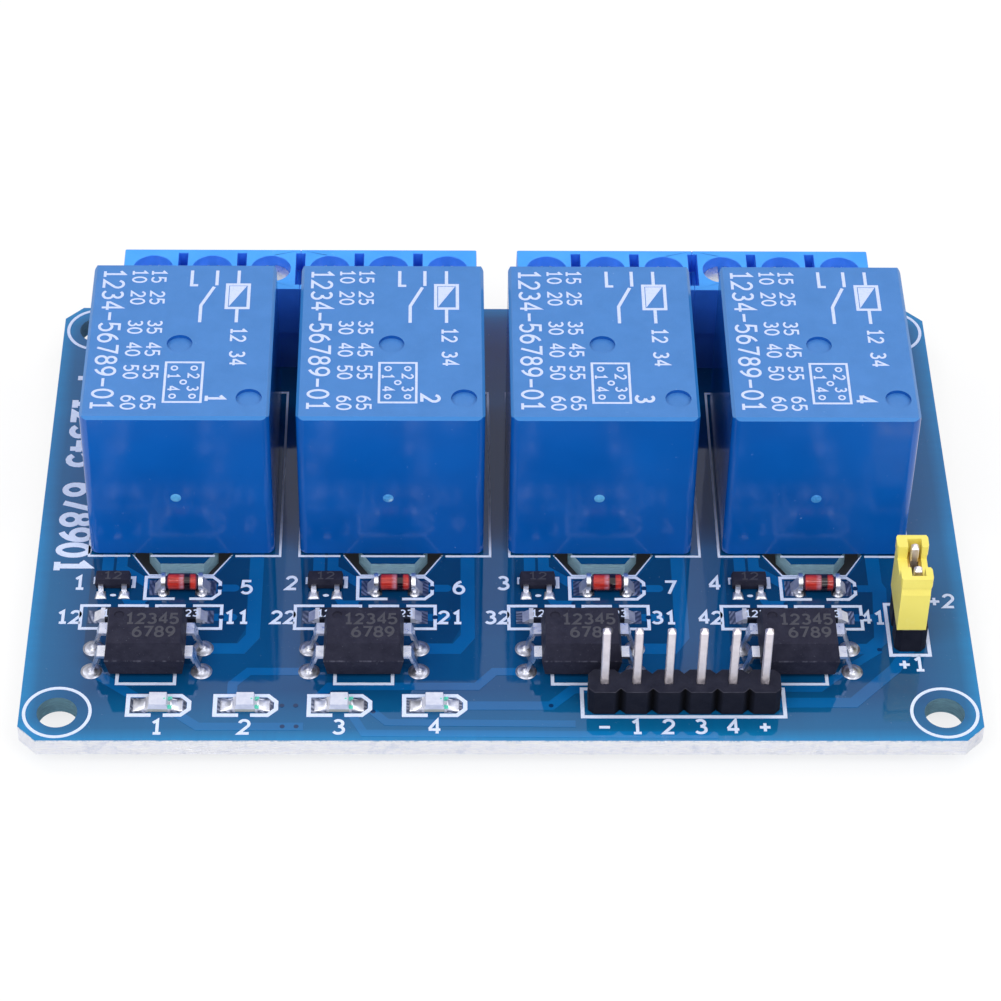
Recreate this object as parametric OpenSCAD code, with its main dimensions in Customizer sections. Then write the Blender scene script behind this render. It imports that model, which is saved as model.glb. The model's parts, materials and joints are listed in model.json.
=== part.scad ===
// Four-channel relay module board: a circuit board with four relays, two
// six-pole screw terminal strips, an input header, a supply jumper and the
// small parts that drive each relay. X runs along the terminal strips, Y from
// the input header to the terminals, Z up. The origin is the centre of the
// board's underside. Heights of parts are measured from the board's top.

/* [Board] */
// Thickness of the circuit board
board_t = 1.6; // [1.2:0.2:2.0]
// Bare board left and right of the outer relays
side_margin = 3.4; // [2.8:0.1:6]
// Bare board behind the terminal strips
back_margin = 0.5; // [0.2:0.1:4]
// Corner chamfer of the board
corner_cut = 1.5; // [0.5:0.1:2]
// Diameter of the four mounting holes
mount_hole_d = 3.2; // [2.4:0.1:3.4]
// Mounting hole centres, in from both edges
mount_inset = 3.0; // [2.6:0.1:3.6]
// Width of the isolation slots under the relays' common pins
slot_w = 1.25; // [0.8:0.05:1.6]
// Copper left between a common pin and its isolation slot
slot_ring = 2.85; // [2.2:0.05:3.2]

/* [Relays] */
// Width of a relay case
relay_w = 15.2; // [14:0.1:17]
// Length of a relay case, front to back
relay_l = 19.2; // [18.6:0.1:22]
// Height of a relay case
relay_h = 15.1; // [14.6:0.1:18]
// Clear gap between two relay cases
relay_gap = 2.2; // [1.5:0.1:4]
// Front face of the relays, in from the board's front edge
relay_inset = 20.7; // [20.2:0.1:26]
// Middle of the row of relays, right of the board's middle
relay_row_shift = -0.1; // [-1:0.05:1]
// How far each relay is soldered off its channel's middle
relay_placing = [0, -0.1, -0.25, 0.1]; // [-0.3:0.05:0.3]
// Wall of a relay case
case_wall = 0.9; // [0.6:0.05:1.0]
// Vertical edge radius of a relay case
case_round = 0.7; // [0.2:0.05:0.9]
// Thickness of a relay's base
base_t = 2.0; // [1.5:0.1:2.4]
// Height of the feet that hold a relay off the board
foot_h = 0.3; // [0.1:0.05:0.4]
// Common pin, in from the relay's front face
common_inset = 1.9; // [1.75:0.05:2.3]
// Contact pins, in from the relay's rear face
contact_inset = 3.1; // [2.7:0.1:3.5]
// Distance from the common pin to the coil pins
coil_span = 2.0; // [1.8:0.1:2.4]
// Pins of a pair, in from the relay's sides
pin_side_inset = 1.6; // [1.4:0.1:1.9]
// Diameter of a relay pin
relay_pin_d = 1.0; // [0.7:0.05:1.2]
// Thickness of a relay's yoke
yoke_t = 1.1; // [0.8:0.05:1.3]
// Diameter of a relay's iron core
core_d = 3.2; // [2.4:0.1:4]
// Outer diameter of the coil winding
coil_d = 9.6; // [8:0.1:10.4]
// Height of the coil winding
coil_h = 5.4; // [4.6:0.1:5.8]
// Thickness of the bobbin's flanges
flange_t = 0.6; // [0.4:0.05:0.8]
// Thickness of the armature
armature_t = 0.9; // [0.6:0.05:1.1]
// Thickness of the contact springs
spring_t = 0.25; // [0.15:0.05:0.35]
// Width of the contact springs
spring_w = 3.0; // [2:0.1:4]
// Diameter of the relay contacts
contact_d = 2.2; // [1.6:0.1:2.8]
// How far the armature swings when the coil pulls it, in degrees
armature_swing = 2.4; // [1.8:0.1:2.6]

/* [Terminals] */
// Distance between two poles of a terminal strip
pole_pitch = 5.08; // [5.0:0.02:5.4]
// Height of a terminal housing
terminal_h = 9.3; // [9.1:0.1:12]
// Depth of a terminal housing
terminal_d = 7.8; // [7.4:0.1:10]
// Depth of the flat top of a terminal housing
terminal_top = 5.25; // [4.9:0.05:6]
// Gap between the relays and the terminal strips
terminal_gap = 4.0; // [2:0.1:6]
// Gap between the two terminal strips
strip_gap = 3.52; // [1:0.02:8]
// Screw axis, in from the housing's relay side
screw_inset = 2.75; // [2.6:0.05:3.0]
// Diameter of a terminal screw's head
screw_head_d = 3.3; // [3.0:0.05:3.4]
// Height of a terminal screw's head
screw_head_h = 1.5; // [0.9:0.05:1.8]
// Diameter of a terminal screw's shank
screw_d = 2.4; // [2.0:0.05:2.5]
// Running clearance around the screws
screw_clear = 0.05; // [0.03:0.01:0.08]
// Width of the screwdriver slot
driver_slot = 0.6; // [0.4:0.05:0.8]
// Width of the notches between two poles
notch_w = 0.78; // [0.5:0.02:0.9]
// Depth of the notches between two poles
notch_depth = 2.0; // [1:0.1:3]
// Thickness of the shelf below a screw head
shelf_t = 0.7; // [0.5:0.05:0.8]
// Floor of a wire chamber
chamber_floor = 0.8; // [0.6:0.05:0.9]
// Inner width of a wire chamber
chamber_w = 3.9; // [3.8:0.02:3.96]
// Lift of a wire clamp from open to closed
clamp_lift = 1.2; // [1.16:0.01:1.25]
// Thickness of a clamp's top plate, which the screw turns in
clamp_top_t = 0.9; // [0.7:0.05:0.95]
// Thickness of a clamp's side and bottom plates
clamp_wall = 0.5; // [0.4:0.02:0.56]
// Thickness of a terminal's contact bar
bar_t = 0.5; // [0.4:0.02:0.56]

/* [Small parts] */
// Pitch of the header pins and of the optocoupler leads
pin_pitch = 2.54; // [2.5:0.02:2.6]
// Side of a square header pin
pin_w = 0.64; // [0.5:0.02:0.7]
// Height of a header's plastic base
header_base_h = 2.54; // [2.2:0.02:2.8]
// Top of the header pins above the board
header_pin_h = 8.4; // [7.6:0.1:10]
// Header row, in from the board's front edge
header_inset = 4.1; // [3.2:0.1:4.6]
// Middle of the input header, right of the board's middle
header_x = 14.45; // [12:0.05:17]
// Middle of the jumper header, in from the board's right edge
jumper_inset = 5.1; // [4.6:0.1:5.5]
// Middle of the jumper header, in from the board's front edge
jumper_row = 12.25; // [11.5:0.05:13.5]
// Height of the jumper cap
cap_h = 5.7; // [5:0.1:6.4]
// Width of the jumper cap
cap_w = 2.35; // [2.2:0.05:2.7]
// How far the cap's body sits off its contact
cap_shift = -0.15; // [-0.2:0.05:0.2]
// Wall thickness of the jumper cap's contact
cap_contact_t = 0.2; // [0.14:0.02:0.24]
// Optocoupler body, width across its leads
opto_w = 6.4; // [6:0.1:6.8]
// Optocoupler body, along its leads
opto_l = 4.6; // [4.3:0.1:4.9]
// Optocoupler body height
opto_h = 3.5; // [3:0.1:4]
// Optocoupler body, held off the board
opto_lift = 0.5; // [0.3:0.05:0.8]
// Distance between an optocoupler's two rows of leads at the board
opto_row_span = 8.8; // [8.4:0.1:9.2]
// Optocouplers, in from the board's front edge
opto_inset = 8.75; // [8.6:0.05:9]
// Optocouplers, right of their channel's middle
opto_shift = -2.2; // [-2.6:0.1:-1.8]
// Resistors, in from the board's front edge
resistor_inset = 13.55; // [13.2:0.05:13.9]
// Resistors, left and right of their optocoupler's middle
resistor_offset = 3.05; // [2.8:0.05:3.4]
// Diodes, in from the board's front edge
diode_inset = 16.9; // [16.6:0.05:17]
// Diodes, right of their channel's middle
diode_shift = 0.2; // [-0.4:0.05:0.8]
// Transistors, in from the board's front edge
transistor_inset = 17.3; // [17.1:0.05:17.4]
// Transistors, right of their channel's middle
transistor_shift = -5.5; // [-5.9:0.05:-5.1]
// Indicator lamps, in from the board's front edge
led_inset = 3.75; // [3.5:0.05:4]
// Middle of each indicator lamp, right of the board's middle
led_x = [-27.25, -20.35, -12.9, -5.35]; // [-30:0.05:0]
// Length of a chip resistor
resistor_l = 2.0; // [1.8:0.05:2.2]
// Width of a chip resistor
resistor_w = 1.25; // [1.1:0.05:1.4]
// Height of a chip resistor
resistor_h = 0.5; // [0.4:0.05:0.6]
// Diameter of a diode's glass
diode_d = 1.4; // [1.2:0.05:1.5]
// Length of a diode over its caps
diode_l = 3.4; // [3.2:0.05:3.7]
// Length of a diode's cap
diode_cap_l = 0.35; // [0.25:0.05:0.5]
// Length of a transistor body
transistor_l = 2.9; // [2.8:0.05:3]
// Width of a transistor body
transistor_w = 1.25; // [1.2:0.05:1.35]
// Height of a transistor body
transistor_h = 1.0; // [0.9:0.05:1.1]
// Length of an indicator lamp
led_l = 2.0; // [1.9:0.05:2.2]
// Width of an indicator lamp
led_w = 1.35; // [1.2:0.05:1.5]
// Height of an indicator lamp
led_h = 0.85; // [0.7:0.05:1.1]

/* [Leads and solder] */
// Length of lead below the board
lead_below = 1.5; // [1.1:0.1:2]
// Height of a solder cone below the board
cone_h = 0.95; // [0.7:0.05:1.05]
// Width of the solder left around a lead, at the board
cone_foot = 0.45; // [0.3:0.05:0.6]
// Clearance of a lead in its hole
hole_clear = 0.2; // [0.1:0.02:0.3]

/* [Hidden] */

$fn = 48;
eps = 0.01;
channels = 4;
poles_per_block = 3;
slip = 0.02;
fit_gap = 0.05;

// Board outline, from what stands on it
channel_pitch = relay_w + relay_gap;
board_w = channels * channel_pitch + 2 * side_margin;
board_d = relay_inset + relay_l + terminal_gap + terminal_d + back_margin;
front_y = -board_d / 2;
relay_y = front_y + relay_inset;
terminal_y = relay_y + relay_l + terminal_gap;
function channel_x(i) = (i - (channels - 1) / 2) * channel_pitch + relay_row_shift;
function relay_x(i) = channel_x(i) + relay_placing[i];

// Relay, heights above the board
common_y = relay_y + common_inset;
coil_y = common_y + coil_span;
contact_y = relay_y + relay_l - contact_inset;
pin_spread = relay_w - 2 * pin_side_inset;
base_top = foot_h + base_t;
case_in_w = relay_w - 2 * case_wall;
case_in_l = relay_l - 2 * case_wall;
yoke_y = relay_y + case_wall + 0.25;
yoke_w = 9.0;
yoke_floor_top = base_top + yoke_t;
core_y = yoke_y + yoke_t + 0.7 + coil_d / 2;
bobbin_bottom = yoke_floor_top;
winding_bottom = bobbin_bottom + flange_t;
winding_top = winding_bottom + coil_h;
bobbin_top = winding_top + flange_t;
pole_top = bobbin_top + 0.5;
pole_gap = (core_y + core_d / 2 + 0.8 - yoke_y - yoke_t) * sin(armature_swing) + slip;
armature_bottom = pole_top + pole_gap;
yoke_top = armature_bottom - slip;
armature_top = armature_bottom + armature_t;
button_h = 1.0;
button_bottom = armature_top + spring_t / 2 - button_h / 2;
throw = (contact_y + contact_d / 2 - yoke_y - yoke_t) * sin(armature_swing) + slip;
fixed_button_h = 0.4;
slot_leg = 1.2;
case_top_cut = 0.3;
dimples = [[0, -0.55], [5.9, -7.15]];
dimple_d = 2.1;
dimple_depth = 0.3;
arm_t = 0.4;
arm_w = 2.4;

// Terminal block, heights above the board
block_l = poles_per_block * pole_pitch;
well_d = screw_head_d + 2 * screw_clear;
shank_hole_d = screw_d + 2 * screw_clear;
screw_y = terminal_y + screw_inset;
wall_step = 0.35;
step_z = 4.3;
contact_wall = 0.35;
chamber_y = terminal_y + wall_step + contact_wall;
leg_t = 0.4;
clamp_y = chamber_y + leg_t + 0.1;
clamp_w = chamber_w - 0.14;
clamp_l = 3.9;
clamp_bottom = chamber_floor + fit_gap;
bar_play = 0.06;
window_bottom = clamp_bottom + clamp_wall;
window_top = window_bottom + 0.75 + clamp_lift + bar_t + 2 * bar_play;
bar_bottom = window_top - bar_play - bar_t;
clamp_top = window_top + clamp_top_t;
chamber_top = clamp_top + clamp_lift + fit_gap;
shelf_top = chamber_top + shelf_t;
shank_bottom = window_top + bar_play;
wire_w = 3.5;
wire_h = 3.4;
wire_z = 2.9;
leg_w = 1.0;
bar_w = clamp_w - 2 * clamp_wall - 0.3;
notch_start = 0.64;
notch_l = 4.17;
function strip_x(s) = (s - 0.5) * (strip_gap + 2 * block_l);
function block_x(b) = strip_x(floor(b / 2)) + (b % 2 - 0.5) * block_l;
function pole_x(p) = block_x(floor(p / poles_per_block))
    + (p % poles_per_block - 1) * pole_pitch;

// Small parts
opto_y = front_y + opto_inset;
resistor_y = front_y + resistor_inset;
diode_y = front_y + diode_inset;
transistor_y = front_y + transistor_inset;
led_y = front_y + led_inset;
header_y = front_y + header_inset;
header_pins = 6;
jumper_x = board_w / 2 - jumper_inset;
jumper_y = front_y + jumper_row;
function opto_x(i) = channel_x(i) + opto_shift;
function diode_x(i) = channel_x(i) + diode_shift;
function transistor_x(i) = channel_x(i) + transistor_shift;
opto_lead_t = 0.25;
opto_lead_w = 0.5;
opto_shoulder_w = 1.2;
opto_lead_z = opto_lift + opto_h / 2;
diode_cap_d = diode_d + 0.1;
diode_shoulder = 0.25;
chip_cap = 0.35;
smd_foot = 0.12;
transistor_lift = 0.1;
transistor_line = transistor_lift + transistor_h / 2;
transistor_lead_w = 0.42;
transistor_lead_x = 0.95;
transistor_foot = 0.7;
tip_z = -lead_below;
led_base_h = 0.3;
led_cap = 0.2;
header_cut = 0.45;
cap_l = 2 * pin_pitch;
cap_lug_h = 1.0;
cap_lug_l = 1.4;
cap_lug_w = cap_w + 0.2;
cap_lug_round = 0.3;
cap_neck_h = 0.8;
contact_half = pin_w / 2 + slip;
contact_l = pin_pitch + pin_w + 1.0;

// A rectangle with true arcs at its corners, drawn around its centre
module round_rect(w, l, r) {
    square([w - 2 * r, l], center = true);
    square([w, l - 2 * r], center = true);
    for (sx = [-1, 1])
        for (sy = [-1, 1])
            translate([sx * (w / 2 - r), sy * (l / 2 - r)])
                circle(r = r);
}

// A rectangle with its corners cut off, drawn around its centre
module cut_rect(w, l, c) {
    polygon([
        [-w / 2 + c, -l / 2], [w / 2 - c, -l / 2], [w / 2, -l / 2 + c], [w / 2, l / 2 - c],
        [w / 2 - c, l / 2], [-w / 2 + c, l / 2], [-w / 2, l / 2 - c], [-w / 2, -l / 2 + c]
    ]);
}

// A profile in X and Z pushed along Y around its middle
module along_y(l) {
    translate([0, l / 2, 0])
        rotate([90, 0, 0])
            linear_extrude(l)
                children();
}

// A profile in Y and Z pushed along X around its middle
module along_x(l) {
    translate([-l / 2, 0, 0])
        rotate([90, 0, 90])
            linear_extrude(l)
                children();
}

// A box centred in X and Y that stands on z
module block(w, l, z0, z1) {
    translate([-w / 2, -l / 2, z0])
        cube([w, l, z1 - z0]);
}

module on_board() {
    translate([0, 0, board_t])
        children();
}

// ---- Places of the leads that pass through the board

module at_relay_pins(i) {
    translate([relay_x(i), common_y])
        children();
    for (side = [-1, 1]) {
        translate([relay_x(i) + side * pin_spread / 2, coil_y])
            children();
        translate([relay_x(i) + side * pin_spread / 2, contact_y])
            children();
    }
}

module at_opto_leads(i) {
    for (side = [-1, 1])
        for (row = [-1, 1])
            translate([opto_x(i) + side * opto_row_span / 2, opto_y + row * pin_pitch / 2])
                children();
}

module at_terminal_legs() {
    for (p = [0 : channels * poles_per_block - 1])
        translate([pole_x(p), chamber_y + leg_t / 2])
            children();
}

module at_header_pins() {
    for (k = [0 : header_pins - 1])
        translate([header_x + (k - (header_pins - 1) / 2) * pin_pitch, header_y])
            children();
}

module at_jumper_pins() {
    for (side = [-1, 1])
        translate([jumper_x, jumper_y + side * pin_pitch / 2])
            children();
}

// ---- Board

// Half an octagon of radius r round the common pin, with straight legs
module slot_outline(r) {
    cut = r * 0.37;
    polygon([
        [-r, slot_leg], [-r, -r + cut * 1.6], [-r + cut, -r],
        [r - cut, -r], [r, -r + cut * 1.6], [r, slot_leg]
    ]);
}

module circuit_board() {
    color("#2f6fa5")
        linear_extrude(board_t)
            difference() {
                cut_rect(board_w, board_d, corner_cut);
                for (sx = [-1, 1])
                    for (sy = [-1, 1])
                        translate([sx * (board_w / 2 - mount_inset), sy * (board_d / 2 - mount_inset)])
                            circle(d = mount_hole_d);
                for (i = [0 : channels - 1]) {
                    translate([channel_x(i), common_y])
                        difference() {
                            slot_outline(slot_ring + slot_w);
                            slot_outline(slot_ring);
                        }
                    at_relay_pins(i)
                        circle(d = relay_pin_d + 2 * hole_clear);
                    at_opto_leads(i)
                        circle(d = opto_lead_w + 2 * hole_clear);
                }
                at_terminal_legs()
                    circle(d = leg_w + 2 * hole_clear);
                at_header_pins()
                    circle(d = pin_w * sqrt(2) + hole_clear);
                at_jumper_pins()
                    circle(d = pin_w * sqrt(2) + hole_clear);
            }
}

// ---- Relays

module relay_cover(i) {
    mid = relay_y + relay_l / 2;
    color("#2b6fc4")
        on_board()
            translate([relay_x(i), mid, foot_h])
                difference() {
                    union() {
                        linear_extrude(relay_h - case_top_cut)
                            round_rect(relay_w, relay_l, case_round);
                        translate([0, 0, relay_h - case_top_cut])
                            intersection() {
                                linear_extrude(case_top_cut)
                                    round_rect(relay_w, relay_l, case_round);
                                along_x(relay_w)
                                    case_top_section(relay_l);
                                along_y(relay_l)
                                    case_top_section(relay_w);
                            }
                    }
                    translate([0, 0, -1])
                        linear_extrude(relay_h - case_wall + 1)
                            square([case_in_w, case_in_l], center = true);
                    for (dimple = dimples)
                        translate([dimple[0], dimple[1], relay_h - dimple_depth])
                            cylinder(d = dimple_d, h = 1);
                }
}

module case_top_section(w) {
    polygon([
        [-w / 2, 0], [w / 2, 0], [w / 2, case_top_cut * 0.2], [w / 2 - case_top_cut * 0.8, case_top_cut],
        [-w / 2 + case_top_cut * 0.8, case_top_cut], [-w / 2, case_top_cut * 0.2]
    ]);
}

module relay_base(i) {
    mid = relay_y + relay_l / 2;
    difference() {
        union() {
            translate([relay_x(i), mid, 0])
                block(case_in_w - 2 * fit_gap, case_in_l - 2 * fit_gap, foot_h, base_top);
            for (sx = [-1, 1])
                for (sy = [-1, 1])
                    translate([relay_x(i) + sx * (case_in_w / 2 - 1.2),
                            mid + sy * (case_in_l / 2 - (sy < 0 ? 0.9 : 0.8)), 0])
                        cylinder(d = 1.2, h = foot_h + eps);
        }
        at_relay_pins(i)
            translate([0, 0, -1])
                cylinder(d = relay_pin_d, h = base_top + 2);
    }
}

module relay_bases() {
    color("#1f4f9c")
        on_board()
            for (i = [0 : channels - 1])
                relay_base(i);
}

module relay_bobbin(i) {
    translate([relay_x(i), core_y, 0])
        difference() {
            union() {
                translate([0, 0, bobbin_bottom])
                    cylinder(d = coil_d + 0.4, h = flange_t);
                translate([0, 0, bobbin_bottom])
                    cylinder(d = core_d + 1.2, h = bobbin_top - bobbin_bottom);
                translate([0, 0, winding_top])
                    cylinder(d = coil_d + 0.4, h = flange_t);
            }
            translate([0, 0, bobbin_bottom - 1])
                cylinder(d = core_d, h = bobbin_top - bobbin_bottom + 2);
        }
}

module relay_bobbins() {
    color("#20232a")
        on_board()
            for (i = [0 : channels - 1])
                relay_bobbin(i);
}

module relay_coils() {
    color("#b5652a")
        on_board()
            for (i = [0 : channels - 1])
                translate([relay_x(i), core_y, winding_bottom])
                    difference() {
                        cylinder(d = coil_d, h = coil_h);
                        translate([0, 0, -1])
                            cylinder(d = core_d + 1.2, h = coil_h + 2);
                    }
}

// The yoke's foot and upright, with the core that stands on the foot
module relay_yokes() {
    color("#8f9499")
        on_board()
            for (i = [0 : channels - 1]) {
                translate([relay_x(i), yoke_y, 0])
                    along_x(yoke_w)
                        polygon([
                            [0, base_top], [core_y - yoke_y + core_d, base_top],
                            [core_y - yoke_y + core_d, yoke_floor_top], [yoke_t, yoke_floor_top],
                            [yoke_t, yoke_top], [0, yoke_top]
                        ]);
                translate([relay_x(i), core_y, yoke_floor_top])
                    cylinder(d = core_d, h = pole_top - yoke_floor_top);
                translate([relay_x(i), core_y, bobbin_top])
                    cylinder(d = core_d + 1.6, h = pole_top - bobbin_top);
            }
}

// Armature plate, its leaf spring and the moving contact at the spring's end
module relay_armature(i) {
    plate_l = core_y + core_d - yoke_y;
    color("#a9adb2")
        on_board()
            translate([relay_x(i), yoke_y, 0]) {
                translate([0, plate_l / 2, 0])
                    block(yoke_w - 1, plate_l, armature_bottom, armature_top);
                translate([0, (contact_y - yoke_y + 1.2) / 2 + 0.6, 0])
                    block(spring_w, contact_y - yoke_y, armature_top, armature_top + spring_t);
                translate([0, contact_y - yoke_y, button_bottom])
                    cylinder(d = contact_d, h = button_h);
            }
}

// A round pin with a riser and an arm that carries a fixed contact
module contact_pin(side, arm_z, button_z) {
    cylinder(d = relay_pin_d, h = base_top - tip_z + board_t);
    rise = board_t - tip_z;
    translate([0, 0, rise + base_top])
        block(arm_t * 1.5, arm_w, 0, arm_z - base_top + arm_t);
    translate([-side * (pin_spread / 4 + contact_d / 4), 0, rise + arm_z])
        block(pin_spread / 2 + contact_d / 2, arm_w, 0, arm_t);
    translate([-side * pin_spread / 2, 0, rise + button_z])
        cylinder(d = contact_d, h = fixed_button_h);
}

module relay_terminals() {
    upper_arm = button_bottom + button_h + slip + fixed_button_h;
    lower_arm = button_bottom - throw - fixed_button_h - arm_t;
    color("#c9b98f")
        on_board()
            for (i = [0 : channels - 1])
                translate([relay_x(i), 0, tip_z - board_t]) {
                    translate([0, common_y, 0])
                        cylinder(d = relay_pin_d, h = base_top - tip_z + board_t);
                    for (side = [-1, 1])
                        translate([side * pin_spread / 2, coil_y, 0])
                            cylinder(d = relay_pin_d, h = base_top - tip_z + board_t);
                    translate([-pin_spread / 2, contact_y, 0])
                        contact_pin(-1, upper_arm, upper_arm - fixed_button_h);
                    translate([pin_spread / 2, contact_y, 0])
                        contact_pin(1, lower_arm, lower_arm + arm_t);
                }
}

// ---- Screw terminals

// Side section of a housing: flat top, sloped wire side, stepped relay side
module housing_section() {
    polygon([
        [wall_step, 0], [terminal_d, 0], [terminal_d, terminal_h * 0.52],
        [terminal_top, terminal_h], [0, terminal_h], [0, step_z], [wall_step, step_z]
    ]);
}

// Notches lie between the poles and where two housings meet
module terminal_housing(b) {
    first_notch = b % 2 == 0 ? 1 : 0;
    color("#2f7be0")
        on_board()
            difference() {
                translate([block_x(b), terminal_y, 0])
                    along_x(block_l)
                        housing_section();
                for (k = [0 : poles_per_block - 1])
                    translate([pole_x(b * poles_per_block + k), 0, 0]) {
                        translate([0, screw_y, shelf_top])
                            cylinder(d = well_d, h = terminal_h);
                        translate([0, screw_y, chamber_top - 1])
                            cylinder(d = shank_hole_d, h = shelf_t + 2);
                        translate([-chamber_w / 2, chamber_y, chamber_floor])
                            cube([chamber_w, clamp_y - chamber_y + clamp_l + 0.1, chamber_top - chamber_floor]);
                        translate([-wire_w / 2, screw_y, wire_z - wire_h / 2])
                            cube([wire_w, terminal_d, wire_h]);
                        translate([-leg_w / 2 - slip, chamber_y, -1])
                            cube([leg_w + 2 * slip, leg_t + slip, chamber_floor + 2]);
                    }
                for (k = [0 : poles_per_block - 1])
                    translate([block_x(b) + (first_notch + k - poles_per_block / 2) * pole_pitch - notch_w / 2,
                            terminal_y + notch_start, terminal_h - notch_depth])
                        cube([notch_w, notch_l, notch_depth + 1]);
            }
}

module terminal_screw(p) {
    color("#b9bcc0")
        on_board()
            translate([pole_x(p), screw_y, 0])
                difference() {
                    union() {
                        translate([0, 0, shelf_top + slip])
                            cylinder(d = screw_head_d, h = screw_head_h);
                        translate([0, 0, shank_bottom])
                            cylinder(d = screw_d, h = shelf_top + slip - shank_bottom + eps);
                    }
                    translate([0, 0, shelf_top + slip + screw_head_h / 2])
                        block(driver_slot, screw_head_d + 1, 0, screw_head_h);
                }
}

module wire_clamp(p) {
    color("#c7cbd0")
        on_board()
            translate([pole_x(p), clamp_y, 0])
                difference() {
                    translate([0, clamp_l / 2, 0])
                        block(clamp_w, clamp_l, clamp_bottom, clamp_top);
                    translate([0, clamp_l / 2, 0])
                        block(clamp_w - 2 * clamp_wall, clamp_l + 1, window_bottom, window_top);
                    translate([0, screw_y - clamp_y, window_top - 1])
                        cylinder(d = shank_hole_d, h = clamp_top_t + 2);
                }
}

// Contact bar over the wire, bent down into a leg that is soldered in
module terminal_contacts() {
    reach = clamp_y + clamp_l - 0.2 - chamber_y;
    color("#cfd2d6")
        on_board()
            for (p = [0 : channels * poles_per_block - 1])
                translate([pole_x(p), chamber_y, 0]) {
                    translate([0, reach / 2, 0])
                        block(bar_w, reach, bar_bottom, bar_bottom + bar_t);
                    translate([0, leg_t / 2, 0])
                        block(leg_w, leg_t, tip_z - board_t, bar_bottom + bar_t / 2);
                }
}

// ---- Optocouplers

module opto_leads_one() {
    foot = opto_row_span / 2;
    half = opto_lead_t / 2;
    root = opto_w / 2 - 0.15;
    bend = opto_w / 2 + 0.5;
    for (side = [0, 1])
        mirror([side, 0, 0])
            for (row = [-1, 1])
                translate([0, row * pin_pitch / 2, 0]) {
                    along_y(opto_shoulder_w)
                        polygon([
                            [root, opto_lead_z - half], [bend - 0.05, opto_lead_z - half],
                            [bend + 0.12, opto_lead_z - 0.7], [bend + 0.12 + opto_lead_t, opto_lead_z - 0.7],
                            [bend + 0.1, opto_lead_z + half], [root, opto_lead_z + half]
                        ]);
                    along_y(opto_lead_w)
                        polygon([
                            [bend + 0.05, opto_lead_z - 0.5], [foot - half, 0], [foot - half, tip_z - board_t],
                            [foot + half, tip_z - board_t], [foot + half, 0], [bend + 0.05 + opto_lead_t, opto_lead_z - 0.5]
                        ]);
                }
}

module opto_leads() {
    color("#d9dadd")
        on_board()
            for (i = [0 : channels - 1])
                translate([opto_x(i), opto_y, 0])
                    opto_leads_one();
}

// A moulded body that narrows above and below its parting line
module moulded_body(w, l, h, line_z, draft) {
    intersection() {
        along_y(l)
            polygon([
                [-w / 2 + draft, 0], [w / 2 - draft, 0], [w / 2, line_z],
                [w / 2 - draft, h], [-w / 2 + draft, h], [-w / 2, line_z]
            ]);
        along_x(w)
            polygon([
                [-l / 2 + draft, 0], [l / 2 - draft, 0], [l / 2, line_z],
                [l / 2 - draft, h], [-l / 2 + draft, h], [-l / 2, line_z]
            ]);
    }
}

module optocouplers() {
    color("#26262e")
        on_board()
            for (i = [0 : channels - 1])
                translate([opto_x(i), opto_y, opto_lift])
                    difference() {
                        moulded_body(opto_w, opto_l, opto_h, opto_h / 2, 0.3);
                        translate([-opto_w / 2 + 1.1, opto_l / 2 - 1.1, opto_h - 0.12])
                            cylinder(d = 0.8, h = 1);
                        for (side = [-1, 1])
                            for (row = [-1, 1])
                                translate([side * opto_w / 2, row * pin_pitch / 2, 0])
                                    block(0.3, opto_shoulder_w, opto_lead_z - opto_lift - opto_lead_t / 2,
                                        opto_lead_z - opto_lift + opto_lead_t / 2);
                    }
}

// ---- Transistors

module at_transistor_leads() {
    for (x = [-transistor_lead_x, transistor_lead_x])
        translate([x, 0, 0])
            children();
    mirror([0, 1, 0])
        children();
}

module transistors() {
    color("#23232a")
        on_board()
            for (i = [0 : channels - 1])
                translate([transistor_x(i), transistor_y, 0])
                    difference() {
                        translate([0, 0, transistor_lift])
                            moulded_body(transistor_l, transistor_w, transistor_h, transistor_h / 2, 0.1);
                        at_transistor_leads()
                            translate([0, -transistor_w / 2, 0])
                                block(transistor_lead_w, 2 * smd_foot, transistor_line - smd_foot / 2,
                                    transistor_line + smd_foot / 2);
                    }
}

module transistor_leads() {
    z = transistor_line;
    edge = transistor_w / 2;
    color("#d9dadd")
        on_board()
            for (i = [0 : channels - 1])
                translate([transistor_x(i), transistor_y, 0])
                    at_transistor_leads()
                        along_x(transistor_lead_w)
                            polygon([
                                [-edge + smd_foot, z - smd_foot / 2], [-edge + smd_foot, z + smd_foot / 2],
                                [-edge - 0.2, z + smd_foot / 2], [-edge - 0.32, smd_foot],
                                [-edge - transistor_foot, smd_foot], [-edge - transistor_foot, 0],
                                [-edge - 0.2, 0], [-edge - smd_foot, z - smd_foot / 2]
                            ]);
}

// ---- Diodes

module lying_rod(d, x0, x1) {
    translate([x0, 0, diode_cap_d / 2])
        rotate([0, 90, 0])
            cylinder(d = d, h = x1 - x0);
}

// The glass narrows in a shoulder where it meets each cap
module diodes() {
    glass = diode_l / 2 - diode_cap_l;
    r = diode_d / 2;
    color("#c0472b")
        on_board()
            for (i = [0 : channels - 1])
                translate([diode_x(i), diode_y, diode_cap_d / 2])
                    rotate([0, 90, 0])
                        rotate_extrude()
                            polygon([
                                [0, -glass], [r - diode_shoulder, -glass], [r, diode_shoulder - glass],
                                [r, glass - diode_shoulder], [r - diode_shoulder, glass], [0, glass]
                            ]);
}

module diode_caps() {
    glass = diode_l / 2 - diode_cap_l;
    color("#d9dadd")
        on_board()
            for (i = [0 : channels - 1])
                translate([diode_x(i), diode_y, 0]) {
                    lying_rod(diode_cap_d, -diode_l / 2, -glass);
                    lying_rod(diode_cap_d, glass, diode_l / 2);
                }
}

// ---- Resistors and indicator lamps

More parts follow.
